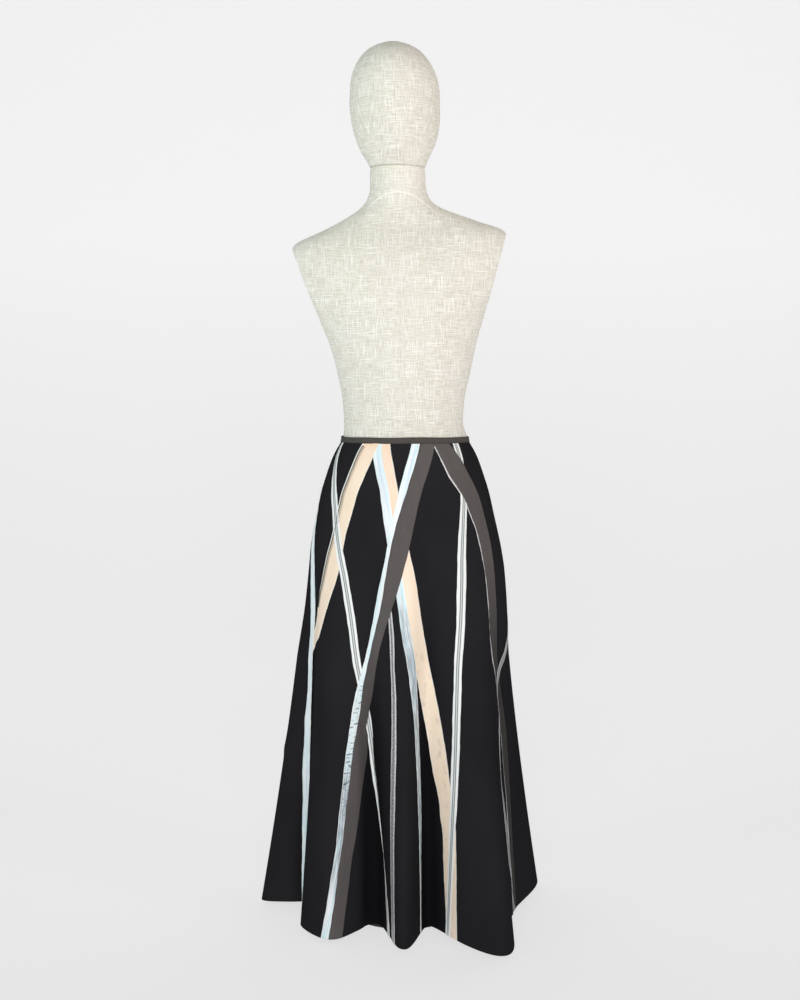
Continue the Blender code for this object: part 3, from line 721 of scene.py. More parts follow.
def stitchNodes():
    tree = bpy.data.node_groups.new("stitches along a line", "GeometryNodeTree")
    tree.interface.new_socket("Line", in_out="INPUT", socket_type="NodeSocketGeometry")
    sizes = {"Spacing": 0.003, "Stitch Length": 0.002, "Thread": 0.0004, "Turn": 0.0,
             "Looseness": 0.08}
    for label, value in sizes.items():
        socket = tree.interface.new_socket(label, in_out="INPUT", socket_type="NodeSocketFloat")
        socket.default_value = value
    tree.interface.new_socket("Seed", in_out="INPUT", socket_type="NodeSocketInt")
    tree.interface.new_socket("Material", in_out="INPUT", socket_type="NodeSocketMaterial")
    tree.interface.new_socket("Stitches", in_out="OUTPUT", socket_type="NodeSocketGeometry")

    def node(kind, settings=None, **sockets):
        made = tree.nodes.new(kind)
        for key, value in (settings or {}).items():
            setattr(made, key, value)
        for key, value in sockets.items():
            target = made.inputs[key.replace("_", " ")]
            if isinstance(value, bpy.types.NodeSocket):
                tree.links.new(value, target)
            else:
                target.default_value = value
        return made

    given = node("NodeGroupInput").outputs
    curve = node("GeometryNodeMeshToCurve", Mesh=given["Line"]).outputs[0]
    spaced = node("GeometryNodeResampleCurve", {"mode": "LENGTH"},
                  Curve=curve, Length=given["Spacing"]).outputs[0]
    facing = node("GeometryNodeInputNamedAttribute", {"data_type": "FLOAT_VECTOR"},
                  Name="facing").outputs[0]
    tangent = node("GeometryNodeInputTangent").outputs[0]
    upright = node("FunctionNodeAlignRotationToVector", {"axis": "Z"}, Vector=facing).outputs[0]
    ahead = node("FunctionNodeAlignRotationToVector", {"axis": "X", "pivot_axis": "Z"},
                 Rotation=upright, Vector=tangent).outputs[0]
    wander = node("FunctionNodeRandomValue", {"data_type": "FLOAT"}, Seed=given["Seed"])
    spread = node("ShaderNodeMath", {"operation": "MULTIPLY"})
    centred = node("ShaderNodeMath", {"operation": "SUBTRACT"})
    tree.links.new(wander.outputs[1], centred.inputs[0])
    centred.inputs[1].default_value = 0.5
    tree.links.new(centred.outputs[0], spread.inputs[0])
    tree.links.new(given["Looseness"], spread.inputs[1])
    turn = node("ShaderNodeMath", {"operation": "ADD"})
    tree.links.new(given["Turn"], turn.inputs[0])
    tree.links.new(spread.outputs[0], turn.inputs[1])
    euler = node("ShaderNodeCombineXYZ", Z=turn.outputs[0]).outputs[0]
    twist = node("FunctionNodeEulerToRotation", Euler=euler).outputs[0]
    placed = node("FunctionNodeRotateRotation", {"rotation_space": "LOCAL"},
                  Rotation=ahead, Rotate_By=twist).outputs[0]
    bead = node("GeometryNodeMeshUVSphere", Segments=6, Rings=4, Radius=0.5).outputs[0]
    size = node("ShaderNodeCombineXYZ", X=given["Stitch Length"], Y=given["Thread"],
                Z=given["Thread"]).outputs[0]
    beads = node("GeometryNodeInstanceOnPoints", Points=spaced, Instance=bead,
                 Rotation=placed, Scale=size).outputs[0]
    real = node("GeometryNodeRealizeInstances", Geometry=beads).outputs[0]
    smooth = node("GeometryNodeSetShadeSmooth", Geometry=real).outputs[0]
    dressed = node("GeometryNodeSetMaterial", Geometry=smooth,
                   Material=given["Material"]).outputs[0]
    node("NodeGroupOutput", Stitches=dressed)
    return tree


stitchTree = stitchNodes()
stitchSeeds = iter(range(11, 900))


def addStitches(name, lines, finish, spacing, length, thread, turn=0.0, looseness=0.1):
    # lines holds (points, facings) pairs that lie on the cloth
    points, edges, facings = [], [], []
    for path, facing in lines:
        start = len(points)
        points += [tuple(p) for p in path]
        facings += [tuple(f) for f in facing]
        edges += [(start + k, start + k + 1) for k in range(len(path) - 1)]
    mesh = bpy.data.meshes.new(name + " line")
    mesh.from_pydata(points, edges, [])
    mesh.attributes.new("facing", "FLOAT_VECTOR", "POINT").data.foreach_set(
        "vector", np.ravel(facings)
    )
    carrier = bpy.data.objects.new(name + " line", mesh)
    bpy.context.scene.collection.objects.link(carrier)
    modifier = carrier.modifiers.new("stitches", "NODES")
    modifier.node_group = stitchTree
    values = {"Spacing": spacing, "Stitch Length": length, "Thread": thread, "Turn": turn,
              "Looseness": looseness, "Seed": next(stitchSeeds), "Material": looks[finish]}
    for item in stitchTree.interface.items_tree:
        if item.item_type == "SOCKET" and item.in_out == "INPUT" and item.name in values:
            modifier[item.identifier] = values[item.name]
    solved = carrier.evaluated_get(bpy.context.evaluated_depsgraph_get())
    stitches = bpy.data.meshes.new_from_object(solved)
    stitches.name = name
    carrier.modifiers.clear()
    bpy.data.objects.remove(carrier)
    made = bpy.data.objects.new(name, stitches)
    bpy.context.scene.collection.objects.link(made)
    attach(made, "root")
    return made


# The two panels of the skirt

panel = {
    "intoBand": 0.0075,
    "rowsInBand": [-0.004, -0.001],
    "rowsAtHem": [0.0022, 0.0008, 0.0],
    "besideSeam": [0.0, 0.0006, 0.0014, 0.0026, 0.0045],
    "tucked": 0.0008,
    "hemTurn": 0.020, "hemExtra": 0.0009, "hemRamp": 0.0025,
    "rim": 0.00035,
}


def panelColumns(startDegrees, endDegrees):
    start, end = foldCoordinate(startDegrees), foldCoordinate(endDegrees)
    step = 1 / skirt["columnsPerFold"]
    inside = np.arange(math.ceil((start + 0.3 * step) / step), (end - 0.3 * step) / step) * step
    return start, end, inside


def addPanel(name, startDegrees, endDegrees):
    start, end, inside = panelColumns(startDegrees, endDegrees)
    drops = np.linspace(0, skirt["drop"] - 0.004, round(skirt["drop"] / skirt["rowStep"]))
    drops = np.concatenate([
        [-panel["intoBand"], *panel["rowsInBand"]], drops[1:],
        skirt["drop"] - np.array(panel["rowsAtHem"]),
    ])
    besideSeam = np.array(panel["besideSeam"]) + skirt["seamGap"] / 2
    girths = girthRows(np.clip(drops, 0, None))
    t = []
    for girth in girths:
        first, last = (np.interp(place, tTable, girth) for place in (start, end))
        left = np.interp(first + besideSeam, girth, tTable)
        right = np.interp(last - besideSeam[::-1], girth, tTable)
        middle = np.interp(np.interp(inside, tTable, girth), girth, tTable)
        # the columns beside the seams push their neighbours inwards where they are close
        squeeze = (right[0] - left[-1]) / (inside[-1] - inside[0])
        middle = left[-1] + (middle - inside[0]) * squeeze
        t.append(np.concatenate([left[:-1], middle, right[1:]]))
    t = np.array(t)
    rows = np.broadcast_to(drops[:, None], t.shape)
    outer = cloth(t, rows)
    normal = normalOf(cloth, t, np.clip(rows, -0.004, skirt["drop"] - 0.002))
    turned = ease((rows - skirt["drop"] + panel["hemTurn"]) / panel["hemRamp"])
    thick = np.where(rows < 0, panel["tucked"], skirt["cloth"] + panel["hemExtra"] * turned)
    inner = outer - normal * thick[..., None]
    rim = np.minimum(panel["rim"], thick / 3)  # the lower edge is rounded over
    outer[-1] -= normal[-1] * rim[-1][:, None]
    inner[-1] += normal[-1] * rim[-1][:, None]
    uv = np.stack([reachOf(t, rows), -rows], -1)
    hollow = {"hollow": fromTable(hollowTable, t, rows)}
    return addWall(name, outer, inner, looks["black_crepe"], uv, hollow, sharp=60)


skirtBack = addPanel("back_panel", skirt["frontSeam"] - 360, skirt["backSeam"])
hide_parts("skirt_back")
skirtFront = addPanel("front_panel", skirt["backSeam"], skirt["frontSeam"])
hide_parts("skirt_front")
print("panels made")


# Ribbons

# From the lowest layer to the topmost. The path is (degrees at the hips, drop). leftEdge and
# rightEdge are (drop, millimetres beyond the even width). A pucker is (drop, place across, height,
# width, rise). The warm colour fades out between its two drops. The darkened stretch and the
# crinkles come in between the first two drops and go between the last two. The darkened stretch
# is painted shade on the right taupe and side silver ribbons, smudges on the right peach ribbon
# and grey patches on the centre and left blue ribbons; the crinkles carry painted shade in their
# small folds. selvedge is the drop where the pale one ends, and area is that of a strip cut
# narrower than its stated width.
ribbons = [
    {
        "name": "silver_edging", "node": "ribbon_silver_edging", "look": "silver_ribbon",
        "width": 0.010, "thread": "silverThread",
        "path": [(27, 0), (34.5, 0.05), (46, 0.11), (51, 0.16), (53, 0.28), (54, 0.38),
                 (60, 0.46), (65.5, 0.55), (66, 0.75), (68, 0.875)],
        "leftEdge": [(0.02, 1), (0.06, 2.6), (0.09, 1.6), (0.13, 2.6), (0.17, 1.2), (0.40, 1),
                     (0.46, 0)],
    },
    {
        "name": "right_peach_ribbon", "node": "ribbon_peach_right", "look": "peach_satin",
        "width": 0.030, "thread": "paleThread", "warm": (0.0, 0.34), "marksAndShade": (0.34, 0.40, 1.0, 1.1),
        "path": [(-20.5, 0), (-14, 0.05), (-8.3, 0.11), (3.7, 0.31), (11, 0.43),
                 (20.6, 0.59), (24.6, 0.70), (25.2, 0.875)],
        "leftEdge": [(0.31, -1.5), (0.43, 1.2), (0.50, -1), (0.59, 0.8), (0.64, -1.2), (0.67, 0.9),
                     (0.70, -0.8), (0.74, 1.0), (0.80, 0)],
        "rightEdge": [(0.31, -0.4), (0.44, 0.6), (0.50, 2.4), (0.59, 1.6), (0.70, 1.4), (0.875, 0)],
        "puckers": [(0.50, 0.004, 0.003, 0.007, 0.0008), (0.57, -0.003, 0.004, 0.006, 0.0006)],
    },
    {
        "name": "centre_silver_ribbon", "node": "ribbon_silver_centre", "look": "silver_ribbon",
        "width": 0.012, "thread": "silverThread",
        "path": [(-11.2, 0.285), (-8.1, 0.37), (-6.2, 0.51), (-7.5, 0.73), (-7, 0.875)],
        "leftEdge": [(0.30, -2), (0.42, -2), (0.52, -0.6), (0.64, 1.6), (0.875, 2)],
        "rightEdge": [(0.30, -2), (0.42, -1.4), (0.52, -0.6), (0.64, 0.8), (0.875, 1.6)],
    },
    {
        "name": "centre_blue_ribbon", "node": "ribbon_blue_centre", "look": "pale_blue_satin",
        "width": 0.015, "thread": "paleThread", "marksAndShade": (0.24, 0.34, 1.0, 1.1),
        "path": [(-25, 0), (-18.6, 0.05), (-14.2, 0.086), (-2, 0.31), (4.2, 0.415),
                 (6.4, 0.535), (7.6, 0.70), (7.7, 0.875)],
        "leftEdge": [(0.42, 0.3), (0.54, -1.2), (0.64, -1.4), (0.74, -4.2), (0.80, -5.0),
                     (0.875, -5.4)],
        "rightEdge": [(0.40, 1.2), (0.54, -1.2), (0.64, -1.0), (0.74, -3.6), (0.80, -5.2),
                      (0.875, -5.6)],
    },
    {
        "name": "left_peach_ribbon", "node": "ribbon_peach_left", "look": "peach_satin",
        "width": 0.033, "thread": "paleThread", "warm": (0.0, 0.06),
        "path": [(-31.5, 0), (-34.5, 0.03), (-40.4, 0.09), (-44.6, 0.16), (-50.6, 0.23),
                 (-60, 0.32), (-66, 0.42), (-68.5, 0.60), (-69, 0.875)],
        "leftEdge": [(0, -1), (0.03, 0.6), (0.088, 1.2), (0.12, 0.2), (0.16, -0.9), (0.23, 2),
                     (0.32, 3), (0.36, 13), (0.40, 11), (0.44, 8.5), (0.60, 9), (0.875, 8.5)],
        "rightEdge": [(0, -1), (0.03, 0.4), (0.088, -1.0), (0.12, -0.4), (0.16, -2.2), (0.23, 1),
                      (0.30, -2), (0.352, -3), (0.372, -22), (0.39, -36), (0.40, -35),
                      (0.44, -32.5), (0.52, -30.5), (0.875, -29)],
        "puckers": [(0.118, 0.004, 0.006, 0.010, 0.0015), (0.130, -0.003, 0.014, 0.003, 0.0010)],
        "selvedge": 0.31,
        "area": 0.0195,
    },
    {
        "name": "side_blue_ribbon", "node": "ribbon_blue_side", "look": "pale_blue_satin",
        "width": 0.014, "thread": "paleThread",
        "path": [(-104, 0), (-93, 0.08), (-83.5, 0.14), (-78, 0.19), (-75.3, 0.25),
                 (-72.5, 0.36), (-73, 0.60), (-72, 0.875)],
        "leftEdge": [(0.24, 2), (0.33, 0), (0.44, -2), (0.55, 2), (0.65, 4), (0.875, 4)],
    },
    {
        "name": "left_striped_ribbon", "node": "ribbon_striped_left", "look": "striped_ribbon",
        "width": 0.014, "thread": "paleThread",
        "path": [(-75, 0), (-52.5, 0.115), (-43.3, 0.196), (-30.2, 0.40), (-23.8, 0.51),
                 (-19, 0.64), (-14, 0.775), (-11.6, 0.875)],
        "leftEdge": [(0, -4), (0.04, -2.5), (0.08, -0.5), (0.11, 0.9), (0.40, -0.3),
                     (0.512, -1.6), (0.57, -0.6), (0.64, -0.4), (0.70, -1.6), (0.755, -4.4),
                     (0.80, -3), (0.875, -1)],
        "rightEdge": [(0, -2), (0.05, -1), (0.11, 0.4), (0.40, 0.2), (0.50, -2), (0.57, -7.5),
                      (0.64, -8.6), (0.70, -9.4), (0.755, -8.4), (0.80, -5), (0.875, 0)],
    },
    {
        "name": "right_striped_ribbon", "node": "ribbon_striped_right", "look": "striped_ribbon",
        "width": 0.014, "thread": "paleThread",
        "path": [(49.5, 0), (42.7, 0.09), (33, 0.23), (30.5, 0.40), (28.2, 0.58),
                 (25.6, 0.74), (23.4, 0.875)],
        "leftEdge": [(0, -0.5), (0.09, 0), (0.23, 1.6), (0.42, -0.6), (0.58, 0.4), (0.74, -0.5)],
        "rightEdge": [(0, 0.5), (0.09, -0.8), (0.23, 1.2), (0.42, 0.6), (0.58, 0.6), (0.74, -0.5)],
    },
    {
        "name": "left_blue_ribbon", "node": "ribbon_blue_left", "look": "pale_blue_satin",
        "width": 0.015, "thread": "paleThread", "crinkled": (0.41, 0.46, 0.60, 0.70),
        "marksAndShade": (0.54, 0.62, 0.74, 0.83),
        "path": [(9.2, 0), (3.2, 0.045), (-9.3, 0.187), (-22, 0.37), (-34, 0.53),
                 (-41.4, 0.74), (-45.9, 0.875)],
        "leftEdge": [(0.04, 0), (0.088, 1.8), (0.187, -0.7), (0.294, 1.6), (0.37, -1.2),
                     (0.454, 1.5), (0.528, 0), (0.61, 0.6), (0.74, -0.7), (0.875, -0.3)],
    },
    {
        "name": "left_taupe_ribbon", "node": "ribbon_taupe_left", "look": "taupe_ribbon",
        "width": 0.028, "thread": "taupeThread",
        "path": [(20, 0), (6, 0.085), (-3.7, 0.185), (-17, 0.37), (-29.5, 0.56),
                 (-37, 0.74), (-42, 0.875)],
        "leftEdge": [(0.08, -0.6), (0.185, 2.2), (0.29, 0), (0.43, 0.8), (0.48, -1.2),
                     (0.56, 0.2), (0.74, 0.3), (0.875, -3)],
        "rightEdge": [(0.08, -1), (0.185, 2.2), (0.24, -1), (0.293, -6), (0.37, -12),
                      (0.41, -10.5), (0.433, -9.4), (0.482, -10.6), (0.512, -10.4), (0.528, -5),
                      (0.568, -1), (0.642, -1.4), (0.70, -2.2), (0.725, -3.2), (0.745, -4.4),
                      (0.80, -3.6), (0.875, -2)],
    },
    {
        "name": "right_taupe_ribbon", "node": "ribbon_taupe_right", "look": "taupe_ribbon",
        # its darkened stretch, from a drop of 0.20 down, is painted shade
        "width": 0.033, "thread": "taupeThread", "marksAndShade": (0.20, 0.44, 1.0, 1.1),
        "path": [(33.5, 0), (41.5, 0.05), (50.5, 0.108), (55, 0.17), (56, 0.275), (57.5, 0.38),
                 (63, 0.46), (69, 0.55), (70, 0.65), (70, 0.875)],
        "leftEdge": [(0, -2.4), (0.05, 2.2), (0.108, -0.8), (0.15, -2.4), (0.275, -1.6), (0.33, 1.5),
                     (0.40, 3), (0.46, 0)],
        "rightEdge": [(0, -2.4), (0.05, 3.2), (0.108, 3), (0.15, 0.4), (0.275, 2), (0.33, 5),
                      (0.39, 6), (0.46, 1)],
    },
    {
        "name": "side_silver_ribbon", "node": "ribbon_silver_side", "look": "silver_ribbon",
        # its darkened stretch, from a drop of 0.30 down, is painted shade
        "width": 0.010, "thread": "silverThread", "marksAndShade": (0.30, 0.50, 1.0, 1.1),
        "path": [(185, 0), (150, 0.12), (116, 0.265), (92, 0.355), (79, 0.391), (66, 0.42),
                 (60.5, 0.45), (58, 0.52), (58, 0.60), (61, 0.66), (63.5, 0.72), (65, 0.78),
                 (68, 0.836), (70, 0.875)],
        "leftEdge": [(0.30, 0), (0.36, 1.5), (0.42, 1.5), (0.47, -2), (0.60, -2.5), (0.66, 0)],
        "rightEdge": [(0.30, 0), (0.36, 1.5), (0.42, 1.5), (0.47, -2), (0.60, -2.5), (0.66, 0)],
    },
]
ribbonSizes = {
    "thickness": 0.0005,
    "seat": 0.00025,
    "layer": 0.00065,
    "margin": 0.0012,
    "ramp": 0.007,
    "rowStep": 0.004,
    "top": -0.005,
    "wander": ((0.00035, 61, 1), (0.0002, 173, 2)),
    "ripple": 0.00012, "ripplePitch": 0.021,
    "tucked": 0.28, "tuckRamp": 0.006,
    "across": np.array([0, 0.02, 0.07, 0.16, 0.28, 0.4, 0.5, 0.6, 0.72, 0.84, 0.93, 0.98, 1.0]),
    "acrossNarrow": [0, 1, 3, 5, 6, 7, 9, 11, 12], "narrow": 0.02,
}


def ribbonLine(ribbon, drops):
    # distance round the girth of a ribbon's middle at each drop, and the cosine of its slant
    path = np.array(ribbon["path"])

    def coordinate(drop):
        return foldCoordinate(smoothCurve(drop, path[:, 1], path[:, 0]))

    low = np.clip(drops - 0.01, path[0, 1], None)
    high = np.clip(drops + 0.01, None, path[-1, 1])
    inside = np.clip(drops, path[0, 1], path[-1, 1])
    run = bareCloth(coordinate(high), high) - bareCloth(coordinate(low), low)
    t = coordinate(inside)
    level = bareCloth(t + 0.02, inside) - bareCloth(t - 0.02, inside)
    slant = np.sum(run * level, -1) / np.linalg.norm(run, axis=-1) / np.linalg.norm(level, axis=-1)
    return reachOf(t, np.clip(inside, 0, None)), np.sqrt(np.clip(1 - slant**2, 0.2, None))


def lengthAlong(points):
    steps = np.linalg.norm(np.diff(points, axis=0), axis=1)
    return np.concatenate([[0], np.cumsum(steps)])


def edgeOffset(points, drops):
    return through(points, drops) / 1000 if points else np.zeros_like(drops)


def addRibbon(index):
    ribbon = ribbons[index]
    path = ribbon["path"]
    first = ribbonSizes["top"] if path[0][1] == 0 else path[0][1]
    last = skirt["drop"] - 0.0003
    drops = np.linspace(first, last, round((last - first) / ribbonSizes["rowStep"]) + 1)
    centre, cosine = ribbonLine(ribbon, drops)
    left = -ribbon["width"] / 2 - edgeOffset(ribbon.get("leftEdge"), drops)
    right = ribbon["width"] / 2 + edgeOffset(ribbon.get("rightEdge"), drops)
    wander = sum(size * np.sin(drops * rate + turn * index)
                 for size, rate, turn in ribbonSizes["wander"])
    left, right = left + wander, right + 0.7 * wander[::-1]
    steps = ribbonSizes["across"]
    if ribbon["width"] < ribbonSizes["narrow"]:
        steps = steps[ribbonSizes["acrossNarrow"]]
    across = left[:, None] + (right - left)[:, None] * steps
    reach = centre[:, None] + across / cosine[:, None]
    girths = girthRows(np.clip(drops, 0, None))
    t = np.array([np.interp(r, g, tTable) for r, g in zip(reach, girths)])
    rows = np.broadcast_to(drops[:, None], t.shape)

    lift = np.full(t.shape, ribbonSizes["seat"])
    for lower in ribbons[:index]:
        lowerCentre, lowerCosine = ribbonLine(lower, drops)
        grow = 1 - ease((lower["path"][0][1] - drops) / ribbonSizes["ramp"])
        leftEdge = lower["width"] / 2 + edgeOffset(lower.get("leftEdge"), drops)
        rightEdge = lower["width"] / 2 + edgeOffset(lower.get("rightEdge"), drops)
        offset = (reach - lowerCentre[:, None]) * lowerCosine[:, None]
        half = np.where(offset < 0, leftEdge[:, None], rightEdge[:, None])
        away = np.abs(offset) - half - ribbonSizes["margin"]
        lift += ribbonSizes["layer"] * (1 - ease(away / ribbonSizes["ramp"])) * grow[:, None]
    for drop, side, tall, wide, height in ribbon.get("puckers", []):
        lift += height * np.exp(-((rows - drop) / tall) ** 2 - ((across - side) / wide) ** 2)
    ripple = np.sin(drops * 2 * math.pi / ribbonSizes["ripplePitch"] + index)[:, None]
    lift += ribbonSizes["ripple"] * (1 + ripple * np.abs(2 * steps - 1) ** 3)
    free = np.where(rows < 0, 0, ease(rows / ribbonSizes["tuckRamp"]))
    lift *= ribbonSizes["tucked"] + (1 - ribbonSizes["tucked"]) * free

    surface = cloth(t, rows)
    normal = normalOf(cloth, t, np.clip(rows, -0.002, skirt["drop"] - 0.003))
    body = ribbonSizes["thickness"] * np.interp(np.abs(2 * steps - 1), [0, 0.9, 1], [1, 0.9, 0.5])
    outer = surface + normal * (lift + body)[..., None]
    inner = surface + normal * lift[..., None]
    length = lengthAlong(surface[:, len(steps) // 2])
    uv = np.stack([across, np.broadcast_to(-length[:, None], t.shape)], -1)
    fromLeft = across - left[:, None]
    warmStart, warmEnd = ribbon.get("warm", (-2, -1))
    attributes = {
        "edge": np.minimum(fromLeft, right[:, None] - across),
        "selvedge": np.where(rows < ribbon.get("selvedge", -1), fromLeft, 1),
        "warm": np.clip((warmEnd - rows) / (warmEnd - warmStart), 0, 1),
        "hollow": fromTable(hollowTable, t, rows),
    }
    # the darkened stretch (painted shade on some ribbons, smudges and grey patches on others) and
    # the crinkles fade in and out
    for key in ("marksAndShade", "crinkled"):
        a, b, c, d = ribbon.get(key, (8, 9, 10, 11))
        attributes[key] = ease((rows - a) / (b - a)) * (1 - ease((rows - c) / (d - c)))
    made = addWall(ribbon["name"], outer, inner, looks[ribbon["look"]], uv, attributes, sharp=70)
    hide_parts(ribbon["node"])
    return {"piece": made, "drops": drops, "t": t, "outer": outer, "normal": normal,
            "across": across, "left": left, "right": right, "length": float(length[-1]),
            "index": index}


madeRibbons = [addRibbon(index) for index in range(len(ribbons))]
print("ribbons made:", len(madeRibbons))


# Sewing on the ribbons

sewing = {
    "inset": 0.0011,
    "lift": 0.00005,
    "plain": {"spacing": 0.0034, "length": 0.0022, "thread": 0.00036},
    "comb": {"spacing": 0.0036, "length": 0.0070, "thread": 0.0014, "turn": math.radians(78),
             "looseness": 0.25},
    "cord": {"spacing": 0.0030, "length": 0.0042, "thread": 0.0019},
    "beads": {"spacing": 0.0042, "length": 0.0030, "thread": 0.0016, "turn": math.radians(60),
              "looseness": 0.5},
}
# rows that take a plain row's place: the piece's ending, the kind of stitch, its thread, the edge
# it follows and how far in, and the drops it runs between, None for the ribbon's own ends
extraRows = {
    "left_peach_ribbon": [
        ("_comb_stitches", "comb", "darkThread", "left", 0.0066, [(None, 0.30)]),
        ("_cord", "cord", "darkThread", "left", 0.0036, [(None, 0.30)]),
    ],
    "right_peach_ribbon": [
        ("_bead_stitches", "beads", "paleThread", "right", 0.0001, [(None, 0.165), (0.345, None)]),
    ],
}


def stitchLine(made, side, inset, start, end=None):
    # a line of places on a ribbon's outer face, inset from one edge
    drops, across = made["drops"], made["across"]
    keep = (drops > start) & (drops < (end or skirt["drop"] - 0.003))
    rows = np.nonzero(keep)[0]
    target = made["left"] + inset if side == "left" else made["right"] - inset
    path, facing = [], []
    for r in rows:
        place = [np.interp(target[r], across[r], made["outer"][r, :, k]) for k in range(3)]
        turn = [np.interp(target[r], across[r], made["normal"][r, :, k]) for k in range(3)]
        path.append(np.array(place) + sewing["lift"] * np.array(turn))
        facing.append(turn)
    return path, facing


for made in madeRibbons:
    ribbon = ribbons[made["index"]]
    name, pieces, plainSides = ribbon["name"], [], ["left", "right"]
    start = max(0.004, ribbon["path"][0][1] + 0.002)
    for ending, kind, thread, side, inset, spans in extraRows.get(name, []):
        lines = [stitchLine(made, side, inset, low or start, high) for low, high in spans]
        pieces.append(addStitches(name + ending, lines, thread, **sewing[kind]))
        plainSides = [k for k in plainSides if k != side]
    lines = [stitchLine(made, side, sewing["inset"], start) for side in plainSides]
    pieces.append(addStitches(name + "_stitches", lines, ribbon["thread"], **sewing["plain"]))
print("ribbons sewn on")


# The waistband, a ribbon folded over the top edge with its ends meeting at the left side

band = {
    "height": 0.0103,
    "overlap": 0.0006,
    "outer": 0.0011,
    "inner": -0.0013,
    "thickness": 0.0006,
    "taper": 0.16,
    "columns": 300,
    "wave": ((0.00035, 3, 1), (0.00025, 7, 0)),
    "flat": (0.668, 0.0235),
    "radius": 0.103,
    "edgeShare": 0.45,
    "stitchHeight": 0.0012,
    "stitches": {"spacing": 0.0030, "length": 0.0021, "thread": 0.00036},
}


def bandProfile():
    # (out, up) down the middle of the folded ribbon, from the outer edge over to the inner edge
    radius = (band["outer"] - band["inner"]) / 2
    top = band["height"] - band["thickness"] / 2 - radius
    turnPoints = [
        (band["inner"] + radius * (1 + math.cos(a)), top + radius * math.sin(a))
        for a in np.linspace(0, math.pi, 9)
    ]
    rise = np.linspace(-band["overlap"], top, 6)[:-1]
    return ([(band["outer"], h) for h in rise] + turnPoints
            + [(band["inner"], h) for h in rise[::-1]])


def bandRing(angles, grow, height):
    # places round the waist, grow outside the body and height above the seam
    depth = np.where(np.cos(angles) > 0, bodySections[0, 2], bodySections[0, 3])
    return np.stack([
        bodySections[0, 4] + (bodySections[0, 1] + grow) * np.sin(angles),
        -(depth + grow) * np.cos(angles),
        waistZ + height + 0 * angles,
    ], -1)


def addBand():
    profile = np.array(bandProfile())
    along = np.gradient(profile, axis=0)
    along /= np.linalg.norm(along, axis=1, keepdims=True)
    side = np.stack([along[:, 1], -along[:, 0]], 1)
    seam = math.radians(skirt["frontSeam"])
    shy = skirt["seamGap"] / 2 / bodySections[0, 1]
    angles = np.linspace(seam - 2 * math.pi + shy, seam - shy, band["columns"] + 1)
    wave = sum(size * np.sin(count * angles + start) for size, count, start in band["wave"])
    grids = []
    for out in (band["thickness"] / 2, -band["thickness"] / 2):
        line = profile + side * out
        rows = []
        for o, h in line[::-1]:
            share = np.clip(h / band["height"], 0, 1) + 0.3
            rows.append(bandRing(angles, o - band["taper"] * max(0.0, h), h + wave * share))
        grids.append(np.array(rows))
    outer, inner = grids
    length = lengthAlong(profile)
    v = np.broadcast_to(length[::-1][:, None], outer.shape[:2])
    u = np.broadcast_to((angles * band["radius"])[None, :], outer.shape[:2])
    edge = np.minimum(np.minimum(v, length[-1] - v), np.abs(v - length[-1] / 2))
    edge = edge * band["edgeShare"]
    uv = np.stack([v, u], -1)  # the ribs run across the ribbon
    made = addWall("waist_ribbon", outer, inner, bandLook, uv, {"edge": edge}, sharp=60)
    return made, angles


waistband, bandAngles = addBand()
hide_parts("waistband")


def bandLine(height):
    # a stitch line round the band's outer face
    grow = band["outer"] + band["thickness"] / 2 + sewing["lift"] - band["taper"] * height
    turn = bandAngles[2:-2]
    return bandRing(turn, grow, height), np.stack([np.sin(turn), -np.cos(turn), 0 * turn], -1)


bandStitches = addStitches(
    "waist_ribbon_stitches", [bandLine(band["stitchHeight"])], "darkThread", **band["stitches"]
)
print("waistband made")


# The dress form

# height above the waist seam, half width, depth of the back, depth of the front, middle in x
torsoSections = np.array([
    (-0.330, 0.1180, 0.0760, 0.0740, 0.002),
    (-0.322, 0.1380, 0.0910, 0.0860, 0.002),
    (-0.295, 0.1540, 0.1040, 0.0960, 0.002),
    (-0.240, 0.1660, 0.1120, 0.1030, 0.002),
    (-0.190, 0.1690, 0.1150, 0.1060, 0.002),
    (-0.160, 0.1650, 0.1130, 0.1060, 0.002),
    (-0.127, 0.1580, 0.1090, 0.1040, 0.002),
    (-0.090, 0.1500, 0.1030, 0.1015, 0.002),
    (-0.055, 0.1390, 0.0955, 0.0980, 0.002),
    (-0.025, 0.1275, 0.0885, 0.0925, 0.002),
    (0.000, 0.1150, 0.0830, 0.0870, 0.002),
    (0.0105, 0.1138, 0.0818, 0.0858, 0.002),
    (0.035, 0.1098, 0.0795, 0.0835, -0.001),
    (0.077, 0.1124, 0.0820, 0.0850, -0.001),
    (0.126, 0.1222, 0.0880, 0.0890, 0.000),
    (0.177, 0.1340, 0.0940, 0.0930, -0.001),
    (0.227, 0.1520, 0.0980, 0.0970, -0.003),
    (0.277, 0.1860, 0.0985, 0.0970, -0.005),
    (0.311, 0.2020, 0.0940, 0.0930, -0.007),
    (0.340, 0.2070, 0.0860, 0.0840, -0.008),
    (0.360, 0.2030, 0.0780, 0.0740, -0.009),
    (0.375, 0.1875, 0.0700, 0.0640, -0.009),
    (0.392, 0.1450, 0.0620, 0.0580, -0.009),
    (0.4115, 0.1000, 0.0560, 0.0560, -0.009),
    (0.424, 0.0760, 0.0530, 0.0570, -0.009),
    (0.441, 0.0580, 0.0500, 0.0590, -0.010),
    (0.460, 0.0515, 0.0480, 0.0600, -0.011),
    (0.4985, 0.0497, 0.0470, 0.0620, -0.012),
])
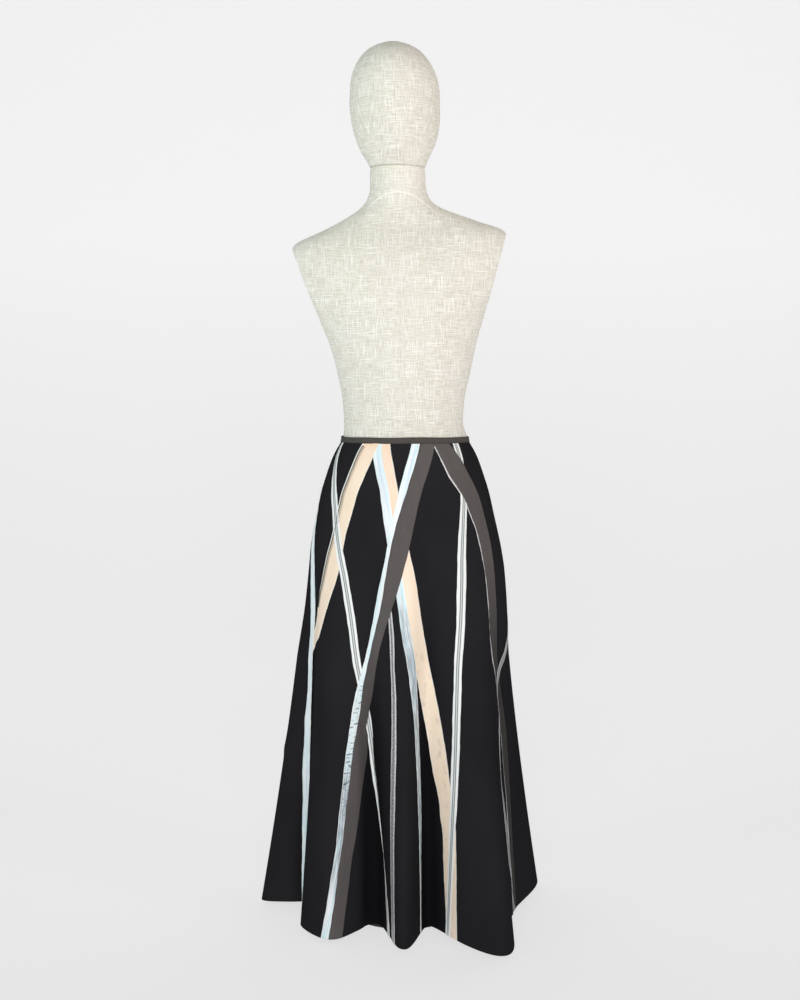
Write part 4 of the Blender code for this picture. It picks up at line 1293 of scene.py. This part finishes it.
headSections = np.array([
    (0.4988, 0.0500, 0.0475, 0.0625, -0.012),
    (0.5130, 0.0565, 0.0600, 0.0780, -0.013),
    (0.5276, 0.0645, 0.0710, 0.0900, -0.014),
    (0.5490, 0.0735, 0.0820, 0.1000, -0.014),
    (0.5706, 0.0790, 0.0890, 0.1040, -0.015),
    (0.5920, 0.0815, 0.0930, 0.1050, -0.016),
    (0.6135, 0.0822, 0.0960, 0.1040, -0.017),
    (0.6350, 0.0815, 0.0965, 0.1020, -0.017),
    (0.6563, 0.0785, 0.0940, 0.0980, -0.018),
    (0.6776, 0.0707, 0.0860, 0.0890, -0.019),
    (0.6990, 0.0562, 0.0690, 0.0720, -0.020),
    (0.7120, 0.0400, 0.0490, 0.0510, -0.020),
    (0.7205, 0.0190, 0.0240, 0.0250, -0.020),
])
form = {
    "headTop": 0.7237,
    "shoulderRoll": 0.067,
    "rollFrom": 0.05, "rollRise": 0.28,
    "neckFrom": 0.40, "neckRise": 0.05,
    "plateTip": (0.196, 0.369), "plateFoot": (0.150, 0.227),
    "bustHeight": 0.205, "bustX": 0.068, "bustSpread": 0.055, "bustRise": 0.026,
    "neckX": -0.012,
    "weltHeight": 0.4505, "weltX": -0.011, "weltBend": 8.8,
    "segments": 144, "headSegments": 112, "lineSegments": 720,
    "rowStep": 0.006,
    # x of the seam down the middle of the back, by height
    "backSeam": [(-0.33, 0.004), (0.04, 0.0034), (0.16, -0.0065), (0.33, -0.0110), (0.45, -0.011)],
    "headSeam": [(0.4988, -0.0135), (0.56, -0.0150), (0.62, -0.0172), (0.66, -0.0275),
                 (0.69, -0.0285), (0.7237, -0.0205)],
    "stitches": {"spacing": 0.0052, "length": 0.0022, "thread": 0.0006, "looseness": 0.3},
}


def formRings(table, heights, segments):
    heights = np.asarray(heights, float)[:, None]
    angles = 2 * math.pi * np.arange(segments)[None, :] / segments
    key = table[:, 0]
    halfWidth, back, front, middle = (smoothCurve(heights, key, table[:, k]) for k in (1, 2, 3, 4))
    roll = ease((heights - form["rollFrom"]) / form["rollRise"])
    roll = roll * (1 - ease((heights - form["neckFrom"]) / form["neckRise"]))
    x = halfWidth * np.sin(angles)
    y = -np.where(np.cos(angles) > 0, back, front) * np.cos(angles)
    rise = np.exp(-((heights - form["bustHeight"]) / form["bustSpread"]) ** 2)
    for breast in (-form["bustX"], form["bustX"]):
        near = np.exp(-((x - breast) / form["bustSpread"]) ** 2)
        y = y + np.where(y > 0, form["bustRise"] * rise * near * -np.cos(angles), 0)
    (tipX, tipHeight), (footX, footHeight) = form["plateTip"], form["plateFoot"]
    reach = footX + (tipX - footX) * (heights - footHeight) / (tipHeight - footHeight)
    reach = np.where(heights < footHeight, 9.0, reach)
    x = np.clip(x, -reach, reach)
    z = waistZ + heights + form["shoulderRoll"] * roll * x
    return np.stack([middle + x, y + 0 * x, z], -1)


def addLoft(name, rings, seam, welt, topPole=None):
    # a closed body through level rings
    count, segments = rings.shape[:2]
    r, c = np.arange(count - 1)[:, None], np.arange(segments)[None, :]
    a, b = r * segments + c, r * segments + (c + 1) % segments
    faces = np.stack([a, b, b + segments, a + segments], -1).reshape(-1, 4).tolist()
    points = np.concatenate([rings.reshape(-1, 3), [rings[0].mean(0)],
                             [rings[-1].mean(0) if topPole is None else topPole]])
    foot, crown, top = len(points) - 2, len(points) - 1, (count - 1) * segments
    for k in range(segments):
        faces.append((foot, (k + 1) % segments, k))
        faces.append((top + k, top + (k + 1) % segments, crown))
    up = np.gradient(rings, axis=0)
    around = np.roll(rings, -1, axis=1) - np.roll(rings, 1, axis=1)
    normal = np.cross(around, up)
    normal /= np.linalg.norm(normal, axis=-1, keepdims=True) + 1e-9
    flat = np.hypot(normal[..., 0], normal[..., 1]) + 1e-9

    def withPoles(values, pole):
        return np.concatenate([np.ravel(values), [pole, pole]])

    attributes = {
        "seam": withPoles(seam, 1.0),
        "welt": withPoles(welt, 1.0),
        "sideways": withPoles(ease((np.abs(normal[..., 0]) / flat - 0.55) / 0.3), 0.0),
        "upwards": withPoles(ease((np.abs(normal[..., 2]) - 0.6) / 0.25), 1.0),
    }
    return addPiece(name, points, faces, looks["linen"], None, attributes, sharp=34)


def drawnIn(rings, heights, knots, shares):
    # the rings narrowed towards the neck's own axis where the head and the torso meet
    axis, share = np.array([form["neckX"], 0.0]), np.interp(heights, knots, shares)
    rings[..., :2] = axis + (rings[..., :2] - axis) * share[:, None, None]
    return rings


def seamAway(rings, heights):
    # distance to the seam down the back, and to the welt round the foot of the neck
    heights = np.asarray(heights)[:, None]
    x, y = rings[..., 0], rings[..., 1]
    line = through(form["backSeam"], np.broadcast_to(heights, x.shape))
    neck = form["weltHeight"] - form["weltBend"] * (x - form["weltX"]) ** 2
    return (np.where((y < 0) & (heights < 0.452), np.abs(x - line), 1.0),
            np.where((y < 0.01) & (np.abs(x) < 0.07), np.abs(heights - neck), 1.0))


torsoHeights = np.unique(np.concatenate([
    np.arange(-0.330, 0.4200, form["rowStep"]), np.arange(0.4210, 0.4560, 0.0015),
    np.arange(0.4590, 0.4950, form["rowStep"]), [-0.3285, -0.3265, 0.4965, 0.4975, 0.4985],
]))
torsoRings = drawnIn(
    formRings(torsoSections, torsoHeights, form["segments"]), torsoHeights,
    [0.4950, 0.4965, 0.4975, 0.4985], [1, 0.996, 0.985, 0.955],
)
torso = addLoft("linen_torso", torsoRings, *seamAway(torsoRings, torsoHeights))
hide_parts("form_torso")

headHeights = np.unique(np.concatenate([
    [0.4988, 0.4996, 0.5010], np.arange(0.5040, 0.7120, 0.004), [0.7145, 0.7165, 0.7185, 0.7205],
]))
headRings = drawnIn(
    formRings(headSections, headHeights, form["headSegments"]), headHeights,
    [0.4988, 0.4996, 0.5010], [0.955, 0.985, 1.0],
)
line = through(form["headSeam"], np.broadcast_to(headHeights[:, None], headRings.shape[:2]))
headAway = np.where(headRings[..., 1] < 0, np.abs(headRings[..., 0] - line), 1.0)
crown = (float(headSections[-1, 4]), 0.0, waistZ + form["headTop"])
head = addLoft("linen_head", headRings, headAway, np.ones(headAway.shape), crown)
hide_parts("form_head")


def backLine(table, seam, heights):
    # the seam down the back of the form, a little off its face
    path, facing = [], []
    for ring, x in zip(formRings(table, heights, form["lineSegments"]), through(seam, heights)):
        half = [k for k in range(len(ring)) if ring[k, 1] < 0]
        k = min(half, key=lambda n: abs(ring[n, 0] - x))
        out = np.array([ring[k, 0] - ring[:, 0].mean(), ring[k, 1], 0.0])
        out /= np.linalg.norm(out)
        path.append(ring[k] + out * 0.0001)
        facing.append(out)
    return path, facing


formStitches = addStitches("form_seam_stitches", [
    backLine(torsoSections, form["backSeam"], np.linspace(0.018, 0.446, 60)),
    backLine(headSections, form["headSeam"], np.linspace(0.506, 0.712, 50)),
], "linenThread", **form["stitches"])
for node in ("form_flange", "form_pole", "form_collar", "form_base"):
    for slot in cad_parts[node].material_slots:
        slot.material = looks["stand_metal"]
print("dress form made")


# Each made ribbon's entry is looked up in turn, and nothing more is done with it

for made in madeRibbons:
    ribbon = ribbons[made["index"]]


# Studio

studio = {
    "wall": (0.40, 0.40, 0.40),
    "glow": 0.655,
    "horizon": (0.74, 0.74, 0.74),
    "overhead": (0.03, 0.03, 0.03),
    "skyFade": (0.12, 0.32),
    "photoDistance": 2.8,
    "photoHeight": 1.0042,
    "photoX": -0.0074,
    "tiltDegrees": 4.607,
    "lens": 54.504,
    "sensor": 36.0,
    # name, place, target, size, power, colour, spread in degrees
    "lights": [
        ("left softbox", (-2.2, -1.6, 2.3), (0, 0, 1.35), 1.2, 1.5, (0.78, 1.0, 0.90), 44),
        ("right softbox", (2.2, -1.6, 2.3), (0, 0, 1.35), 1.2, 1.8, (1.0, 0.88, 0.75), 44),
        ("front softbox", (-0.1, -4.2, 1.6), (0, 0, 0.80), 2.4, 13.6, (1.0, 1.0, 1.0), 66),
    ],
}


def addSweep():
    # a pale floor that curves up into the wall behind
    profile = [(-14.0, 0.0), (-6.0, 0.0), (-3.0, 0.0), (0.0, 0.0), (2.2, 0.0)]
    profile += [(2.2 + 1.6 * math.sin(a), 1.6 - 1.6 * math.cos(a))
                for a in np.linspace(0.1, math.pi / 2, 16)]
    profile += [(3.8, 4.0), (3.8, 6.5)]
    xs = np.linspace(-14, 14, 29)
    points = [(x, y, z) for y, z in profile for x in xs]
    faces = gridFaces(len(profile), len(xs), 0, flip=True)
    mesh = bpy.data.meshes.new("studio sweep")
    mesh.from_pydata(points, [], faces)
    mesh.shade_smooth()
    look = Look("studio paper")
    paper = look.noise((3.0, 3.0, 3.0), 2.0, source="Object")
    colour = look.mix(paper * 0.1, studio["wall"], tuple(0.97 * v for v in studio["wall"]))
    mesh.materials.append(look.finish(
        Base_Color=colour, Roughness=0.95, Specular_IOR_Level=0.0,
        Emission_Color=(1.0, 1.0, 1.0, 1.0), Emission_Strength=studio["glow"],
    ))
    made = bpy.data.objects.new("studio sweep", mesh)
    bpy.context.scene.collection.objects.link(made)


addSweep()
world = bpy.data.worlds.new("studio air")
world.use_nodes = True
air = world.node_tree.nodes["Background"]
height = world.node_tree.nodes.new("ShaderNodeSeparateXYZ")
fade = world.node_tree.nodes.new("ShaderNodeMapRange")
shade = world.node_tree.nodes.new("ShaderNodeMix")
shade.data_type = "RGBA"
place = world.node_tree.nodes.new("ShaderNodeTexCoord")
fade.inputs["From Min"].default_value, fade.inputs["From Max"].default_value = studio["skyFade"]
shade.inputs[6].default_value = (*studio["horizon"], 1.0)
shade.inputs[7].default_value = (*studio["overhead"], 1.0)
for source, target in (
    (place.outputs["Generated"], height.inputs[0]),
    (height.outputs["Z"], fade.inputs["Value"]),
    (fade.outputs[0], shade.inputs[0]),
    (shade.outputs[2], air.inputs["Color"]),
):
    world.node_tree.links.new(source, target)
bpy.context.scene.world = world


def addLight(name, place, target, size, power, colour, spread):
    data = bpy.data.lights.new(name, "AREA")
    data.spread = math.radians(spread)
    data.shape, data.size, data.energy, data.color = "DISK", size, power, colour
    light = bpy.data.objects.new(name, data)
    light.location = place
    light.rotation_euler = (Vector(target) - Vector(place)).to_track_quat("-Z", "Y").to_euler()
    bpy.context.scene.collection.objects.link(light)


for light in studio["lights"]:
    addLight(*light)

cameraData = bpy.data.cameras.new("photo camera")
cameraData.lens, cameraData.sensor_width = studio["lens"], studio["sensor"]
camera = bpy.data.objects.new("photo camera", cameraData)
camera.location = (studio["photoX"], -studio["photoDistance"], studio["photoHeight"])
camera.rotation_euler = (math.radians(90 - studio["tiltDegrees"]), 0, 0)
bpy.context.scene.collection.objects.link(camera)
bpy.context.scene.camera = camera
bpy.context.scene.view_settings.view_transform = "Standard"
print("studio made")
